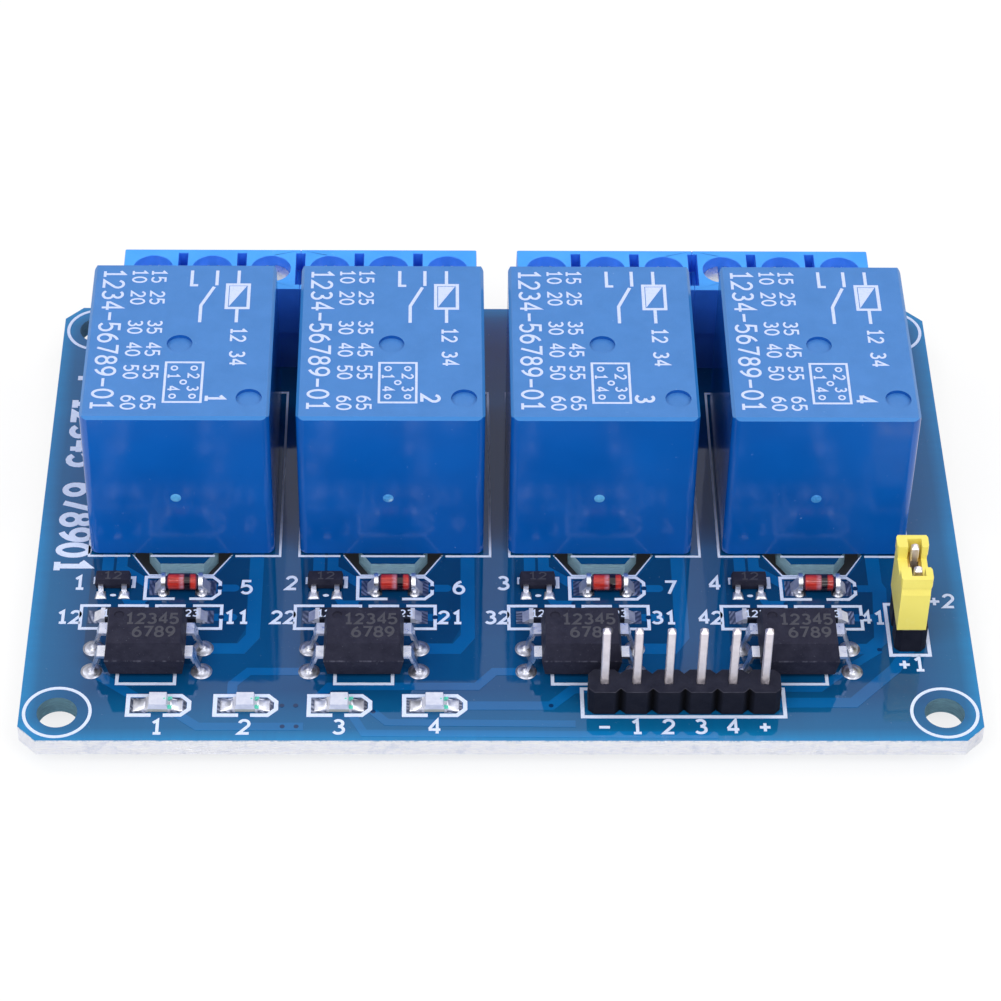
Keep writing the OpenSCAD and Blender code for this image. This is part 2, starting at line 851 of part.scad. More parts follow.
module at_resistors() {
    for (i = [0 : channels - 1])
        for (side = [-1, 1])
            translate([opto_x(i) + side * resistor_offset, resistor_y, 0])
                children();
}

module at_leds() {
    for (x = led_x)
        translate([x, led_y, 0])
            children();
}

module chip_ends(l, w, h, cap) {
    for (side = [-1, 1])
        translate([side * (l - cap) / 2, 0, 0])
            block(cap, w, 0, h);
}

module resistors() {
    color("#202228")
        on_board()
            at_resistors()
                block(resistor_l - 2 * chip_cap, resistor_w, 0.03, resistor_h);
}

module resistor_caps() {
    color("#d9dadd")
        on_board()
            at_resistors()
                chip_ends(resistor_l, resistor_w, resistor_h, chip_cap);
}

module leds() {
    color("#eef0f4")
        on_board()
            at_leds() {
                block(led_l - 2 * led_cap, led_w, 0.03, led_base_h);
                translate([0, 0, led_base_h])
                    intersection() {
                        block(led_l - 2 * led_cap, led_w, 0, led_h - led_base_h);
                        along_y(led_w)
                            polygon([
                                [-led_l / 2 + led_cap, 0], [led_l / 2 - led_cap, 0],
                                [led_l / 2 - led_cap - 0.12, led_h - led_base_h],
                                [-led_l / 2 + led_cap + 0.12, led_h - led_base_h]
                            ]);
                    }
            }
}

module led_caps() {
    color("#d9dadd")
        on_board()
            at_leds()
                chip_ends(led_l, led_w, led_base_h, led_cap);
}

// ---- Headers and jumper

// Square pin with a tapered upper tip
module square_pin(z0, z1) {
    taper = pin_w * 0.28;
    intersection() {
        block(pin_w, pin_w, z0, z1);
        along_y(pin_w)
            pin_section(z0, z1, taper);
        along_x(pin_w)
            pin_section(z0, z1, taper);
    }
}

module pin_section(z0, z1, taper) {
    polygon([
        [-pin_w / 2, z0], [pin_w / 2, z0], [pin_w / 2, z1 - taper * 1.5],
        [pin_w / 2 - taper, z1], [-pin_w / 2 + taper, z1], [-pin_w / 2, z1 - taper * 1.5]
    ]);
}

module input_header_base() {
    color("#1d1d24")
        on_board()
            difference() {
                union()
                    at_header_pins()
                        linear_extrude(header_base_h)
                            cut_rect(pin_pitch + eps, pin_pitch, header_cut);
                at_header_pins()
                    block(pin_w, pin_w, -1, header_base_h + 1);
            }
}

module input_header_pins() {
    color("#cfc9c4")
        on_board()
            at_header_pins()
                square_pin(tip_z - board_t, header_pin_h);
}

module jumper_header_base() {
    color("#1d1d24")
        on_board()
            difference() {
                union()
                    at_jumper_pins()
                        linear_extrude(header_base_h)
                            cut_rect(pin_pitch, pin_pitch + eps, header_cut);
                at_jumper_pins()
                    block(pin_w, pin_w, -1, header_base_h + 1);
            }
}

module jumper_header_pins() {
    color("#cfc9c4")
        on_board()
            at_jumper_pins()
                square_pin(tip_z - board_t, header_pin_h);
}

// Side section of the cap: two lugs stand up at its ends
module cap_section() {
    lug = cap_h - cap_lug_h;
    dip = lug - cap_neck_h;
    polygon([
        [-cap_l / 2, 0], [cap_l / 2, 0], [cap_l / 2, dip], [cap_l / 2 - 0.15, lug - 0.1],
        [cap_l / 2, lug], [cap_l / 2, cap_h], [cap_l / 2 - cap_lug_l, cap_h],
        [cap_l / 2 - cap_lug_l, dip + 0.5], [-cap_l / 2 + cap_lug_l, dip + 0.5],
        [-cap_l / 2 + cap_lug_l, cap_h], [-cap_l / 2, cap_h], [-cap_l / 2, lug],
        [-cap_l / 2 + 0.15, lug - 0.1], [-cap_l / 2, dip]
    ]);
}

module jumper_cap() {
    seat = header_base_h + slip;
    pocket_w = 2 * (contact_half + cap_contact_t) + 2 * slip;
    pocket_l = contact_l + 2 * slip;
    color("#e9e36a")
        on_board()
            translate([jumper_x, jumper_y, seat])
                difference() {
                    translate([cap_shift, 0, 0]) {
                        along_x(cap_w)
                            cap_section();
                        for (side = [-1, 1])
                            translate([0, side * (cap_l - cap_lug_l) / 2, cap_h - cap_lug_h])
                                linear_extrude(cap_lug_h)
                                    round_rect(cap_lug_w, cap_lug_l, cap_lug_round);
                    }
                    block(pocket_w, pocket_l, -1, cap_h + 1);
                }
}

// Two leaves that hold the pins between them, joined at one end
module jumper_contact() {
    seat = header_base_h + slip;
    color("#c9a54a")
        on_board()
            translate([jumper_x, jumper_y, seat]) {
                for (side = [-1, 1])
                    translate([side * (contact_half + cap_contact_t / 2), 0, 0])
                        block(cap_contact_t, contact_l, 0.3, cap_h - cap_lug_h - 0.5);
                translate([0, contact_l / 2 - cap_contact_t / 2, 0])
                    block(2 * contact_half + eps, cap_contact_t, 0.3, cap_h - cap_lug_h - 0.5);
            }
}

// ---- Solder

module cone(r) {
    translate([0, 0, -cone_h])
        cylinder(r1 = r + 0.08, r2 = r + cone_foot, h = cone_h);
}

// A wedge of solder beside the end of a chip part, its foot towards +X
module fillet_wedge(w, run, rise) {
    along_y(w)
        polygon([[0, 0], [run, 0], [0, rise]]);
}

module chip_fillets(l, w, h) {
    for (side = [0, 1])
        mirror([side, 0, 0])
            translate([l / 2, 0, 0])
                fillet_wedge(w * 0.9, 0.6, h * 0.75);
}

module solder_joints() {
    color("#d3d6da") {
        for (i = [0 : channels - 1]) {
            at_relay_pins(i)
                difference() {
                    cone(relay_pin_d / 2);
                    translate([0, 0, -cone_h - 1])
                        cylinder(d = relay_pin_d, h = cone_h + 2);
                }
            at_opto_leads(i)
                difference() {
                    cone(opto_lead_w / 2);
                    block(opto_lead_t, opto_lead_w, -cone_h - 1, 1);
                }
        }
        at_terminal_legs()
            difference() {
                cone(leg_w / 2);
                block(leg_w, leg_t, -cone_h - 1, 1);
            }
        at_header_pins()
            difference() {
                cone(pin_w * 0.7);
                block(pin_w, pin_w, -cone_h - 1, 1);
            }
        at_jumper_pins()
            difference() {
                cone(pin_w * 0.7);
                block(pin_w, pin_w, -cone_h - 1, 1);
            }
        on_board() {
            at_resistors()
                chip_fillets(resistor_l, resistor_w, resistor_h);
            at_leds()
                chip_fillets(led_l, led_w, led_base_h);
            for (i = [0 : channels - 1])
                translate([diode_x(i), diode_y, 0])
                    chip_fillets(diode_l, diode_cap_d * 0.8, diode_cap_d * 0.7);
        }
    }
}

circuit_board();
relay_cover(0);  // relay_cover_1
relay_cover(1);  // relay_cover_2
relay_cover(2);  // relay_cover_3
relay_cover(3);  // relay_cover_4
relay_armature(0);  // relay_armature_1
relay_armature(1);  // relay_armature_2
relay_armature(2);  // relay_armature_3
relay_armature(3);  // relay_armature_4
relay_bases();
relay_bobbins();
relay_coils();
relay_yokes();
relay_terminals();
terminal_housing(0);  // terminal_housing_1
terminal_housing(1);  // terminal_housing_2
terminal_housing(2);  // terminal_housing_3
terminal_housing(3);  // terminal_housing_4
terminal_screw(0);  // terminal_screw_1
terminal_screw(1);  // terminal_screw_2
terminal_screw(2);  // terminal_screw_3
terminal_screw(3);  // terminal_screw_4
terminal_screw(4);  // terminal_screw_5
terminal_screw(5);  // terminal_screw_6
terminal_screw(6);  // terminal_screw_7
terminal_screw(7);  // terminal_screw_8
terminal_screw(8);  // terminal_screw_9
terminal_screw(9);  // terminal_screw_10
terminal_screw(10);  // terminal_screw_11
terminal_screw(11);  // terminal_screw_12
wire_clamp(0);  // wire_clamp_1
wire_clamp(1);  // wire_clamp_2
wire_clamp(2);  // wire_clamp_3
wire_clamp(3);  // wire_clamp_4
wire_clamp(4);  // wire_clamp_5
wire_clamp(5);  // wire_clamp_6
wire_clamp(6);  // wire_clamp_7
wire_clamp(7);  // wire_clamp_8
wire_clamp(8);  // wire_clamp_9
wire_clamp(9);  // wire_clamp_10
wire_clamp(10);  // wire_clamp_11
wire_clamp(11);  // wire_clamp_12
terminal_contacts();
optocouplers();
opto_leads();
transistors();
transistor_leads();
diodes();
diode_caps();
resistors();
resistor_caps();
leds();
led_caps();
input_header_base();
input_header_pins();
jumper_header_base();
jumper_header_pins();
jumper_cap();
jumper_contact();
solder_joints();
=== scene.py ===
"""Looks of the relay module board: materials, printing, copper, solder, light and camera.

The frame is the part's own. Lengths are in millimetres and become metres in mm() and Plot.piece(),
except those of the lamps and the floor, which are in metres. Places come from the boxes of the CAD solids.
"""

import json
import math

import bmesh
import bpy
from mathutils import Matrix, Vector


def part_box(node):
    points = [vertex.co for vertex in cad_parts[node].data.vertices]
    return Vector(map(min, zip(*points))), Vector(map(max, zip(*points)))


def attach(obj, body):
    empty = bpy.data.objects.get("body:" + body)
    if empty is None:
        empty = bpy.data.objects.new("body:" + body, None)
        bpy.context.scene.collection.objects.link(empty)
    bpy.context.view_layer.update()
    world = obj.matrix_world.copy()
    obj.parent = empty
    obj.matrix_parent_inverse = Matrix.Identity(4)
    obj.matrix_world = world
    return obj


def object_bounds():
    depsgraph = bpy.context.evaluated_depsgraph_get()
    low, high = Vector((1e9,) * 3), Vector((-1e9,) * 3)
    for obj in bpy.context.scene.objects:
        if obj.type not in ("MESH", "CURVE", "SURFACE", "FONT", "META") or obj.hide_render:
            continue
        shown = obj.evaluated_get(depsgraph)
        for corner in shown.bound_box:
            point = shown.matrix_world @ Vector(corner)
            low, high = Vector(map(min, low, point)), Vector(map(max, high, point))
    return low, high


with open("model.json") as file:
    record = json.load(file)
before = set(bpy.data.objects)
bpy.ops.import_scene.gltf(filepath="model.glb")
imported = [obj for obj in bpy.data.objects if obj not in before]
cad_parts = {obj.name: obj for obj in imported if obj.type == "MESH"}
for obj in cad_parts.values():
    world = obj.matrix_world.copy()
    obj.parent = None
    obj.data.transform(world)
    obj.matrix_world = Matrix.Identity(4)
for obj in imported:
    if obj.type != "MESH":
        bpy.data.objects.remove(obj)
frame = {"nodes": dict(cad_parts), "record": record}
CAD_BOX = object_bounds()
NODES = frame["nodes"]
CHANNELS = 4


def mm(*values):
    """Millimetres to metres, for one number or several."""
    scaled = [value * 0.001 for value in values]
    return scaled[0] if len(scaled) == 1 else Vector(scaled)


def add(name, data):
    """Puts a new object in the scene."""
    item = bpy.data.objects.new(name, data)
    bpy.context.scene.collection.objects.link(item)
    return item


# ---- Places, in millimetres, from the CAD solids


class Box:
    """The box of one solid, in millimetres."""

    def __init__(self, low, high):
        self.low, self.high = low, high
        self.mid = (low + high) / 2
        self.size = high - low


def solids(node):
    """A Box for every separate solid in a CAD node, from left to right."""
    mesh = NODES[node].data
    merged = {}
    corner = []
    for vertex in mesh.vertices:
        key = tuple(round(value * 1e6) for value in vertex.co)
        corner.append(merged.setdefault(key, len(merged)))
    parent = list(range(len(merged)))

    def root(index):
        while parent[index] != index:
            parent[index] = parent[parent[index]]
            index = parent[index]
        return index

    for edge in mesh.edges:
        a, b = root(corner[edge.vertices[0]]), root(corner[edge.vertices[1]])
        parent[a] = b
    groups = {}
    for vertex, index in zip(mesh.vertices, corner):
        groups.setdefault(root(index), []).append(vertex.co * 1000)
    boxes = []
    for points in groups.values():
        axes = list(zip(*points))
        boxes.append(Box(Vector(map(min, axes)), Vector(map(max, axes))))
    return sorted(boxes, key=lambda box: (round(box.mid.x, 2), round(box.mid.y, 2)))


def node_box(node):
    low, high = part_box(node)
    return Box(low * 1000, high * 1000)


BOARD = node_box("circuit_board")
TOP = BOARD.high.z
RELAYS = [node_box(f"relay_cover_{k + 1}") for k in range(CHANNELS)]
OPTOS = solids("optocouplers")
TRANSISTORS = solids("transistors")
DIODES = solids("diodes")
RESISTORS = solids("resistors")
LEDS = solids("leds")
HEADER = node_box("input_header_base")
HEADER_PINS = solids("input_header_pins")
JUMPER = node_box("jumper_header_base")
ROOT = "board"
CORNER_CUT = 2.0
HOLE_INSET = 3.0
PIN_PITCH = 2.54
# From an optocoupler's middle to the middle of its channel, and to its solder joints
OPTO_SHIFT = 2.2
LEAD_X = 4.4
LEAD_Y = PIN_PITCH / 2
CHANNEL_X = [box.mid.x + OPTO_SHIFT for box in OPTOS]
# Each relay's slot is half an octagon round its common pin, which stands PIN_INSET behind the relay's front
SLOT_REACH = 4.10
SLOT_INNER = 2.85
SLOT_CUT = 0.37
SLOT_SLANT = 1.6
PIN_INSET = 1.9
# From a part's middle to its pads and to the ends of its printed outline
DIODE_PAD_X = 1.9
DIODE_REACH = 3.05
CHIP_PAD_X = 1.5
RESISTOR_REACH = 2.65
TRANSISTOR_PAD_X = 0.95
TRANSISTOR_PAD_Y = 0.62


# ---- Materials


class Nodes:
    """Short ways to add and join shader nodes in a tree."""

    def __init__(self, tree):
        self.tree = tree

    def put(self, socket, value):
        """Links a socket to an output, or sets its value; a colour's alpha is 1."""
        if isinstance(value, bpy.types.NodeSocket):
            self.tree.links.new(value, socket)
        else:
            socket.default_value = (*value, 1) if socket.type == "RGBA" else value

    def fill(self, node, sockets):
        for name, value in sockets.items():
            self.put(node.inputs[name.replace("_", " ")], value)

    def node(self, kind, attributes=None, **sockets):
        node = self.tree.nodes.new("ShaderNode" + kind)
        for name, value in (attributes or {}).items():
            setattr(node, name, value)
        self.fill(node, sockets)
        return node

    def math(self, operation, *values, kind="Math"):
        node = self.node(kind, {"operation": operation})
        for socket, value in zip(node.inputs, values):
            self.put(socket, value)
        return node.outputs[0]

    def times(self, a, b):
        return self.math("MULTIPLY", a, b)

    def minus(self, a, b):
        return self.math("SUBTRACT", a, b)

    def size(self, value):
        return self.math("ABSOLUTE", value)

    def spread(self, value, from_low, from_high, low=0.0, high=1.0):
        """Maps a value from one range to another, clamped."""
        node = self.node("MapRange")
        for socket, number in zip(node.inputs, (value, from_low, from_high, low, high)):
            self.put(socket, number)
        return node.outputs[0]

    def mix(self, factor, a, b):
        """A colour between a and b."""
        node = self.node("Mix", {"data_type": "RGBA"})
        for index, value in ((0, factor), (6, a), (7, b)):
            self.put(node.inputs[index], value)
        return node.outputs[2]

    def looked_at(self):
        """1 where the camera, a mirror or glass sees the surface, 0 where it only lights the rest."""
        path = self.node("LightPath")
        seen = self.math("MAXIMUM", path.outputs["Is Camera Ray"], path.outputs["Is Glossy Ray"])
        return self.math("MAXIMUM", seen, path.outputs["Is Transmission Ray"])


class Shader(Nodes):
    """A principled material. Coordinates are in millimetres."""

    def __init__(self, name, **sockets):
        self.material = bpy.data.materials.new(name)
        self.material.use_nodes = True
        super().__init__(self.material.node_tree)
        self.surface = self.tree.nodes["Principled BSDF"]
        self.fill(self.surface, sockets)
        self.coordinates = self.node("TexCoord").outputs
        self.place = self.math("MULTIPLY", self.coordinates["Object"], (1000.0,) * 3, kind="VectorMath")

    def stretched(self, x, y, z):
        """Coordinates in millimetres, multiplied along each axis."""
        return self.math("MULTIPLY", self.place, (x, y, z), kind="VectorMath")

    def noise(self, scale, detail=3.0, roughness=0.5, place=None, low=0.0, high=1.0):
        """Noise whose range is spread between low and high."""
        node = self.node("TexNoise", Vector=place or self.place, Scale=scale, Detail=detail, Roughness=roughness)
        return self.spread(node.outputs["Fac"], 0.3, 0.7, low, high)

    def facing(self, axis):
        """The surface normal's component along an object axis, 0 for X, 1 for Y, 2 for Z."""
        return self.node("SeparateXYZ", Vector=self.coordinates["Normal"]).outputs[axis]

    def along(self, axis):
        """The place along an object axis, in millimetres."""
        return self.node("SeparateXYZ", Vector=self.place).outputs[axis]

    def bump(self, value, depth, normal=None):
        """Raises the surface by value times depth, in millimetres."""
        node = self.node("Bump", Distance=mm(depth), Height=value)
        if normal:
            self.put(node.inputs["Normal"], normal)
        return node.outputs[0]

    def finish(self, **sockets):
        self.fill(self.surface, sockets)
        return self.material


def rim_distance(s):
    """Distance from the board's outer edge, in millimetres, with its cut corners."""
    x = s.size(s.along(0))
    y = s.size(s.along(1))
    half_x, half_y = BOARD.size.x / 2, BOARD.size.y / 2
    from_sides = s.math("MINIMUM", s.minus(half_x, x), s.minus(half_y, y))
    from_corner = s.minus(half_x + half_y - CORNER_CUT, s.math("ADD", x, y))
    return s.math("MINIMUM", from_sides, s.times(from_corner, math.sqrt(0.5)))


def painted(s, deep, light, rim):
    """Solder mask: it drifts a little, shows the weave below and turns paler towards the rim."""
    drift = s.noise(0.11, 3, 0.55)
    colour = s.mix(drift, deep, light)
    distance = rim_distance(s)
    margin = s.spread(distance, 1.2, 5.5, 0.55, 0.0)
    colour = s.mix(margin, colour, rim)
    brink = tuple(min(1.0, value * 1.5) for value in rim)
    colour = s.mix(s.spread(distance, 0.0, 1.3, 0.8, 0.0), colour, brink)
    warp = s.noise(2.1, 2, place=s.stretched(1, 0.06, 1))
    weft = s.noise(2.1, 2, place=s.stretched(0.06, 1, 1))
    weave = s.times(s.math("ADD", warp, weft), 0.10)
    colour = s.mix(weave, colour, light)
    return s.mix(s.spread(s.noise(2.6, 5, 0.85), 0.90, 1.0, 0.0, 0.35), colour, (0.30, 0.42, 0.52))


def mask_material(name, deep, light, rim):
    """Glossy solder mask over copper."""
    s = Shader(name, Roughness=0.05, IOR=1.5)
    colour = painted(s, deep, light, rim)
    return s.finish(Base_Color=colour, Normal=s.bump(s.noise(0.6, 2), 0.002))


def board_material():
    """Solder mask above and below, bare laminate on the sawn edge and in the holes and slots; the hole walls are
    painted darker as painted shade, the slot walls lighter as painted light.
    """
    s = Shader("board_laminate", IOR=1.62, Specular_Tint=(0.60, 0.66, 1.0))
    mask = painted(s, (0.001, 0.050, 0.158), (0.002, 0.068, 0.190), (0.003, 0.160, 0.365))
    layers = s.noise(2.4, 4, 0.7, place=s.stretched(0.6, 0.6, 4))
    blotches = s.noise(0.9, 4, 0.7)
    sawn = s.mix(layers, (0.84, 0.86, 0.97), (1.0, 1.0, 1.0))
    sawn = s.mix(s.spread(blotches, 0.60, 0.95, 0.0, 0.40), sawn, (0.55, 0.61, 0.78))
    near_top = s.spread(s.along(2), TOP - 0.22, TOP - 0.02)
    ragged = s.times(near_top, s.spread(s.noise(1.7, 4, 0.8), 0.45, 0.7))
    sawn = s.mix(s.times(ragged, 0.7), sawn, (0.06, 0.30, 0.55))
    # Painted shade: the walls of the holes and slots get a darker laminate colour than the sawn edge
    inner_wall_painted_shading = s.mix(layers, (0.085, 0.19, 0.25), (0.18, 0.36, 0.44))
    distance = rim_distance(s)
    # Painted light: the slot walls, away from the rim, get a lighter colour than the hole walls
    slot_wall_painted_light = s.mix(layers, (0.30, 0.56, 0.70), (0.54, 0.80, 0.92))
    inner_wall_painted_shading = s.mix(s.spread(distance, 5.0, 7.0), inner_wall_painted_shading, slot_wall_painted_light)
    cut_face = s.mix(s.spread(distance, 0.3, 0.5), sawn, inner_wall_painted_shading)
    flat = s.spread(s.size(s.facing(2)), 0.45, 0.55)
    colour = s.mix(flat, cut_face, mask)
    roughness = s.spread(flat, 0.0, 1.0, 0.8, 0.05)
    rough = s.times(layers, s.spread(flat, 0.0, 1.0, 1.0, 0.0))
    normal = s.bump(s.noise(0.6, 2), 0.002, s.bump(rough, 0.10))
    return s.finish(Base_Color=colour, Roughness=roughness, Normal=normal)


def plastic_material(name, colour, shade, roughness, grain=0.004, grain_scale=9.0, scuffs=0.15, light=None):
    """Moulded plastic: fine grain, uneven gloss and a few light scuffs."""
    s = Shader(name, IOR=1.48)
    light = light or tuple(min(1.0, value * 1.25 + 0.03) for value in colour)
    cloud = s.noise(0.22, 3, 0.5)
    base = s.mix(cloud, shade, colour)
    streaks = s.noise(1.3, 5, 0.75, place=s.stretched(0.35, 1.2, 0.35))
    marks = s.spread(streaks, 0.80, 1.0, 0.0, scuffs)
    base = s.mix(marks, base, light)
    gloss = s.noise(1.1, 4, 0.6, low=roughness * 0.85, high=roughness * 1.2)
    normal = s.bump(s.noise(grain_scale, 3, 0.6), grain)
    return s.finish(Base_Color=base, Roughness=gloss, Normal=normal)


def terminal_material():
    """Bright blue moulding; its upright faces are painted darker than its top as painted shade, with more painted
    shade low on the faces towards the relays.
    """
    s = Shader("terminal_plastic", IOR=1.48)
    base = s.mix(s.noise(0.3, 3, 0.5), (0.036, 0.32, 0.92), (0.056, 0.38, 1.0))
    base = s.mix(s.spread(s.noise(1.6, 5, 0.8), 0.88, 1.0, 0.0, 0.3), base, (0.35, 0.62, 0.95))
    flat = s.spread(s.facing(2), 0.3, 0.9)
    # Painted shade: the upright faces get a darker blue than the top
    upright_painted_shade = s.mix(s.noise(0.5, 3), (0.034, 0.19, 0.78), (0.046, 0.23, 0.90))
    # Painted shade: low on the faces towards the relays the blue turns nearly black
    to_relays = s.spread(s.facing(1), -0.9, -0.5, 1.0, 0.0)
    painted_low_shade = s.times(to_relays, s.spread(s.along(2), TOP + 1.0, TOP + 7.5, 1.0, 0.0))
    upright_painted_shade = s.mix(s.times(painted_low_shade, 0.65), upright_painted_shade, (0.012, 0.040, 0.15))
    colour = s.mix(flat, upright_painted_shade, base)
    gloss = s.noise(1.2, 4, 0.6, low=0.28, high=0.40)
    return s.finish(Base_Color=colour, Roughness=gloss, Normal=s.bump(s.noise(9.0, 3, 0.6), 0.004))


def metal_material(name, colour, shade, roughness, wave=0.003, wave_scale=3.0, metallic=1.0):
    """Plated or soldered metal with soft dents and a patchy sheen."""
    s = Shader(name, Metallic=metallic)
    patches = s.noise(1.4, 4, 0.6)
    base = s.mix(patches, shade, colour)
    gloss = s.noise(2.6, 3, 0.6, low=roughness * 0.8, high=roughness * 1.3)
    normal = s.bump(s.noise(wave_scale, 2, 0.5), wave)
    return s.finish(Base_Color=base, Roughness=gloss, Normal=normal)


def ink_material(name, colour, thin):
    """Printed ink that is a little thinner in places."""
    s = Shader(name, Roughness=0.55)
    patches = s.noise(5.0, 4, 0.7)
    base = s.mix(s.spread(patches, 0.0, 0.45), thin, colour)
    normal = s.bump(s.noise(14.0, 2), 0.004)
    return s.finish(Base_Color=base, Normal=normal)


def glass_material():
    """Tinted glass of the diodes: red inside with a painted highlight near the middle, a soft black band right of
    the middle, and painted shade along its upper and lower outline and at its ends.
    """
    s = Shader("diode_glass", Roughness=0.05, IOR=1.5, Coat_Weight=0.25, Coat_Roughness=0.03)
    across = s.along(0)
    shifts = [s.minus(across, box.mid.x) for box in DIODES]
    nearest = shifts[0]
    for shift in shifts[1:]:
        closer = s.math("LESS_THAN", s.size(shift), s.size(nearest))
        nearest = s.math("ADD", nearest, s.times(closer, s.minus(shift, nearest)))
    streaks = s.noise(2.4, 4, 0.7, place=s.stretched(0.5, 2.5, 2.5))
    red = s.mix(streaks, (0.30, 0.010, 0.010), (0.68, 0.050, 0.035))
    from_middle = s.size(nearest)
    # Painted highlight: a pale patch near the middle of each tube
    pale = s.times(s.spread(from_middle, 0.05, 0.30, 1.0, 0.0), s.spread(streaks, 0.2, 0.7))
    colour = s.mix(s.times(pale, 0.5), red, (0.45, 0.42, 0.60))
    band = s.spread(s.size(s.minus(nearest, 0.42)), 0.20, 0.34, 1.0, 0.0)
    colour = s.mix(band, colour, (0.010, 0.004, 0.010))
    # Painted shade: the glass darkens where it turns away from the front view, along its top and bottom
    upper = s.times(s.facing(2), 0.70)
    towards = s.minus(upper, s.times(s.facing(1), 0.72))
    colour = s.mix(s.spread(towards, 0.30, 0.72, 0.95, 0.0), colour, (0.020, 0.006, 0.012))
    half = DIODES[0].size.x / 2
    # Painted shade: a dark outline at each end of the tube
    ends = s.spread(from_middle, half - 0.26, half - 0.12)
    colour = s.mix(ends, colour, (0.06, 0.045, 0.09))
    return s.finish(Base_Color=colour)


def relay_material():
    """Blue case: polished sides that mirror the board, a finely grained satin top painted paler than the sides as
    a painted sheen, and a painted highlight along its edges.
    """
    s = Shader("relay_case", IOR=1.5)
    cloud = s.noise(0.15, 2, 0.5)
    sides = s.mix(cloud, (0.0022, 0.086, 0.39), (0.0030, 0.104, 0.45))
    # Painted sheen: the top gets a paler blue than the sides
    top = s.mix(s.noise(0.5, 4, 0.6), (0.024, 0.150, 0.45), (0.038, 0.182, 0.52))
    top = s.mix(s.noise(16.0, 3, 0.7, low=0.0, high=0.5), top, (0.075, 0.26, 0.64))
    up = s.facing(2)
    flat = s.spread(up, 0.75, 0.95)
    colour = s.mix(flat, sides, top)
    # Painted highlight: a paler band on the rounded edges between top and sides
    edge = s.times(s.spread(up, 0.15, 0.4), s.spread(up, 0.75, 0.95, 1.0, 0.0))
    colour = s.mix(s.times(edge, 0.45), colour, (0.06, 0.31, 0.68))
    specks = s.times(s.spread(s.noise(1.8, 6, 0.85), 0.93, 1.0), 0.6)
    colour = s.mix(specks, colour, (0.45, 0.66, 0.95))
    smears = s.noise(0.35, 5, 0.7, low=0.0, high=0.05, place=s.stretched(1.0, 1.0, 0.4))
    gloss = s.math("ADD", s.spread(flat, 0.0, 1.0, 0.12, 0.38), smears)
    grain = s.times(s.noise(13.0, 3, 0.6), s.spread(flat, 0.0, 1.0, 0.06, 1.0))
    return s.finish(Base_Color=colour, Roughness=gloss, Normal=s.bump(grain, 0.008))


def moulding_material():
    """Dull black moulding, dusty and rubbed along its parting line."""
    s = Shader("black_moulding", IOR=1.45, Specular_IOR_Level=0.12)
    cloud = s.noise(1.1, 4, 0.7)
    base = s.mix(cloud, (0.015, 0.015, 0.029), (0.027, 0.027, 0.046))
    from_line = s.size(s.minus(s.along(2), OPTOS[0].mid.z))
    near_line = s.spread(from_line, 0.02, 0.13, 1.0, 0.0)
    dashes = s.noise(1.5, 4, 0.7, place=s.stretched(1.0, 1.0, 0.2))
    rubbed = s.times(near_line, s.spread(dashes, 0.45, 0.8))
    base = s.mix(s.times(rubbed, 0.4), base, (0.20, 0.20, 0.26))
    base = s.mix(s.spread(s.noise(6.0, 3, 0.7), 0.92, 1.0, 0.0, 0.25), base, (0.22, 0.22, 0.28))
    gloss = s.noise(2.0, 3, 0.6, low=0.50, high=0.64)
    return s.finish(Base_Color=base, Roughness=gloss, Normal=s.bump(s.noise(12.0, 3, 0.7), 0.006))


def header_material():
    """Black moulding of the pin headers: painted shade in the grooves between its blocks and on its upright faces,
    and a painted highlight on its edges.
    """
    s = Shader("header_plastic", IOR=1.45, Specular_IOR_Level=0.12, Roughness=0.62)
    base = s.mix(s.noise(0.9, 4, 0.7), (0.010, 0.011, 0.022), (0.020, 0.021, 0.036))
    up = s.facing(2)
    # Painted highlight: a paler colour on the rounded edges
    edge = s.times(s.spread(up, 0.1, 0.4), s.spread(up, 0.7, 0.95, 1.0, 0.0))
    base = s.mix(s.times(edge, s.noise(2.0, 3, low=0.1, high=0.7)), base, (0.09, 0.09, 0.12))
    from_middle = s.minus(s.along(0), HEADER.mid.x)
    from_joint = s.math("PINGPONG", from_middle, PIN_PITCH / 2)
    inside = s.math("LESS_THAN", s.size(from_middle), HEADER.size.x / 2 - 0.6)
    # Painted shade: near-black bands in the grooves between the blocks, on their upright faces
    groove_painted_shade = s.times(s.spread(from_joint, 0.10, 0.50, 1.0, 0.0), inside)
    groove_painted_shade = s.times(groove_painted_shade, s.spread(up, 0.2, 0.7, 1.0, 0.0))
    # Painted shade: the upright faces are darkened towards black
    base = s.mix(s.spread(up, 0.2, 0.7), s.mix(0.6, base, (0.002, 0.003, 0.008)), base)
    base = s.mix(groove_painted_shade, base, (0.001, 0.001, 0.002))
    return s.finish(Base_Color=base, Normal=s.bump(s.noise(9.0, 3, 0.7), 0.008))


def lamp_material():
    """Milky resin of a lamp over its pale base."""
    s = Shader("lamp_body", Roughness=0.3, IOR=1.5, Coat_Weight=0.3)
    cloud = s.noise(1.6, 3, 0.6)
    resin = s.mix(cloud, (0.56, 0.59, 0.74), (0.70, 0.72, 0.84))
    above_base = s.spread(s.along(2), LEDS[0].low.z + 0.25, LEDS[0].low.z + 0.32)
    colour = s.mix(above_base, (0.42, 0.44, 0.42), resin)
    return s.finish(Base_Color=colour, Normal=s.bump(s.noise(3.0, 2), 0.006))


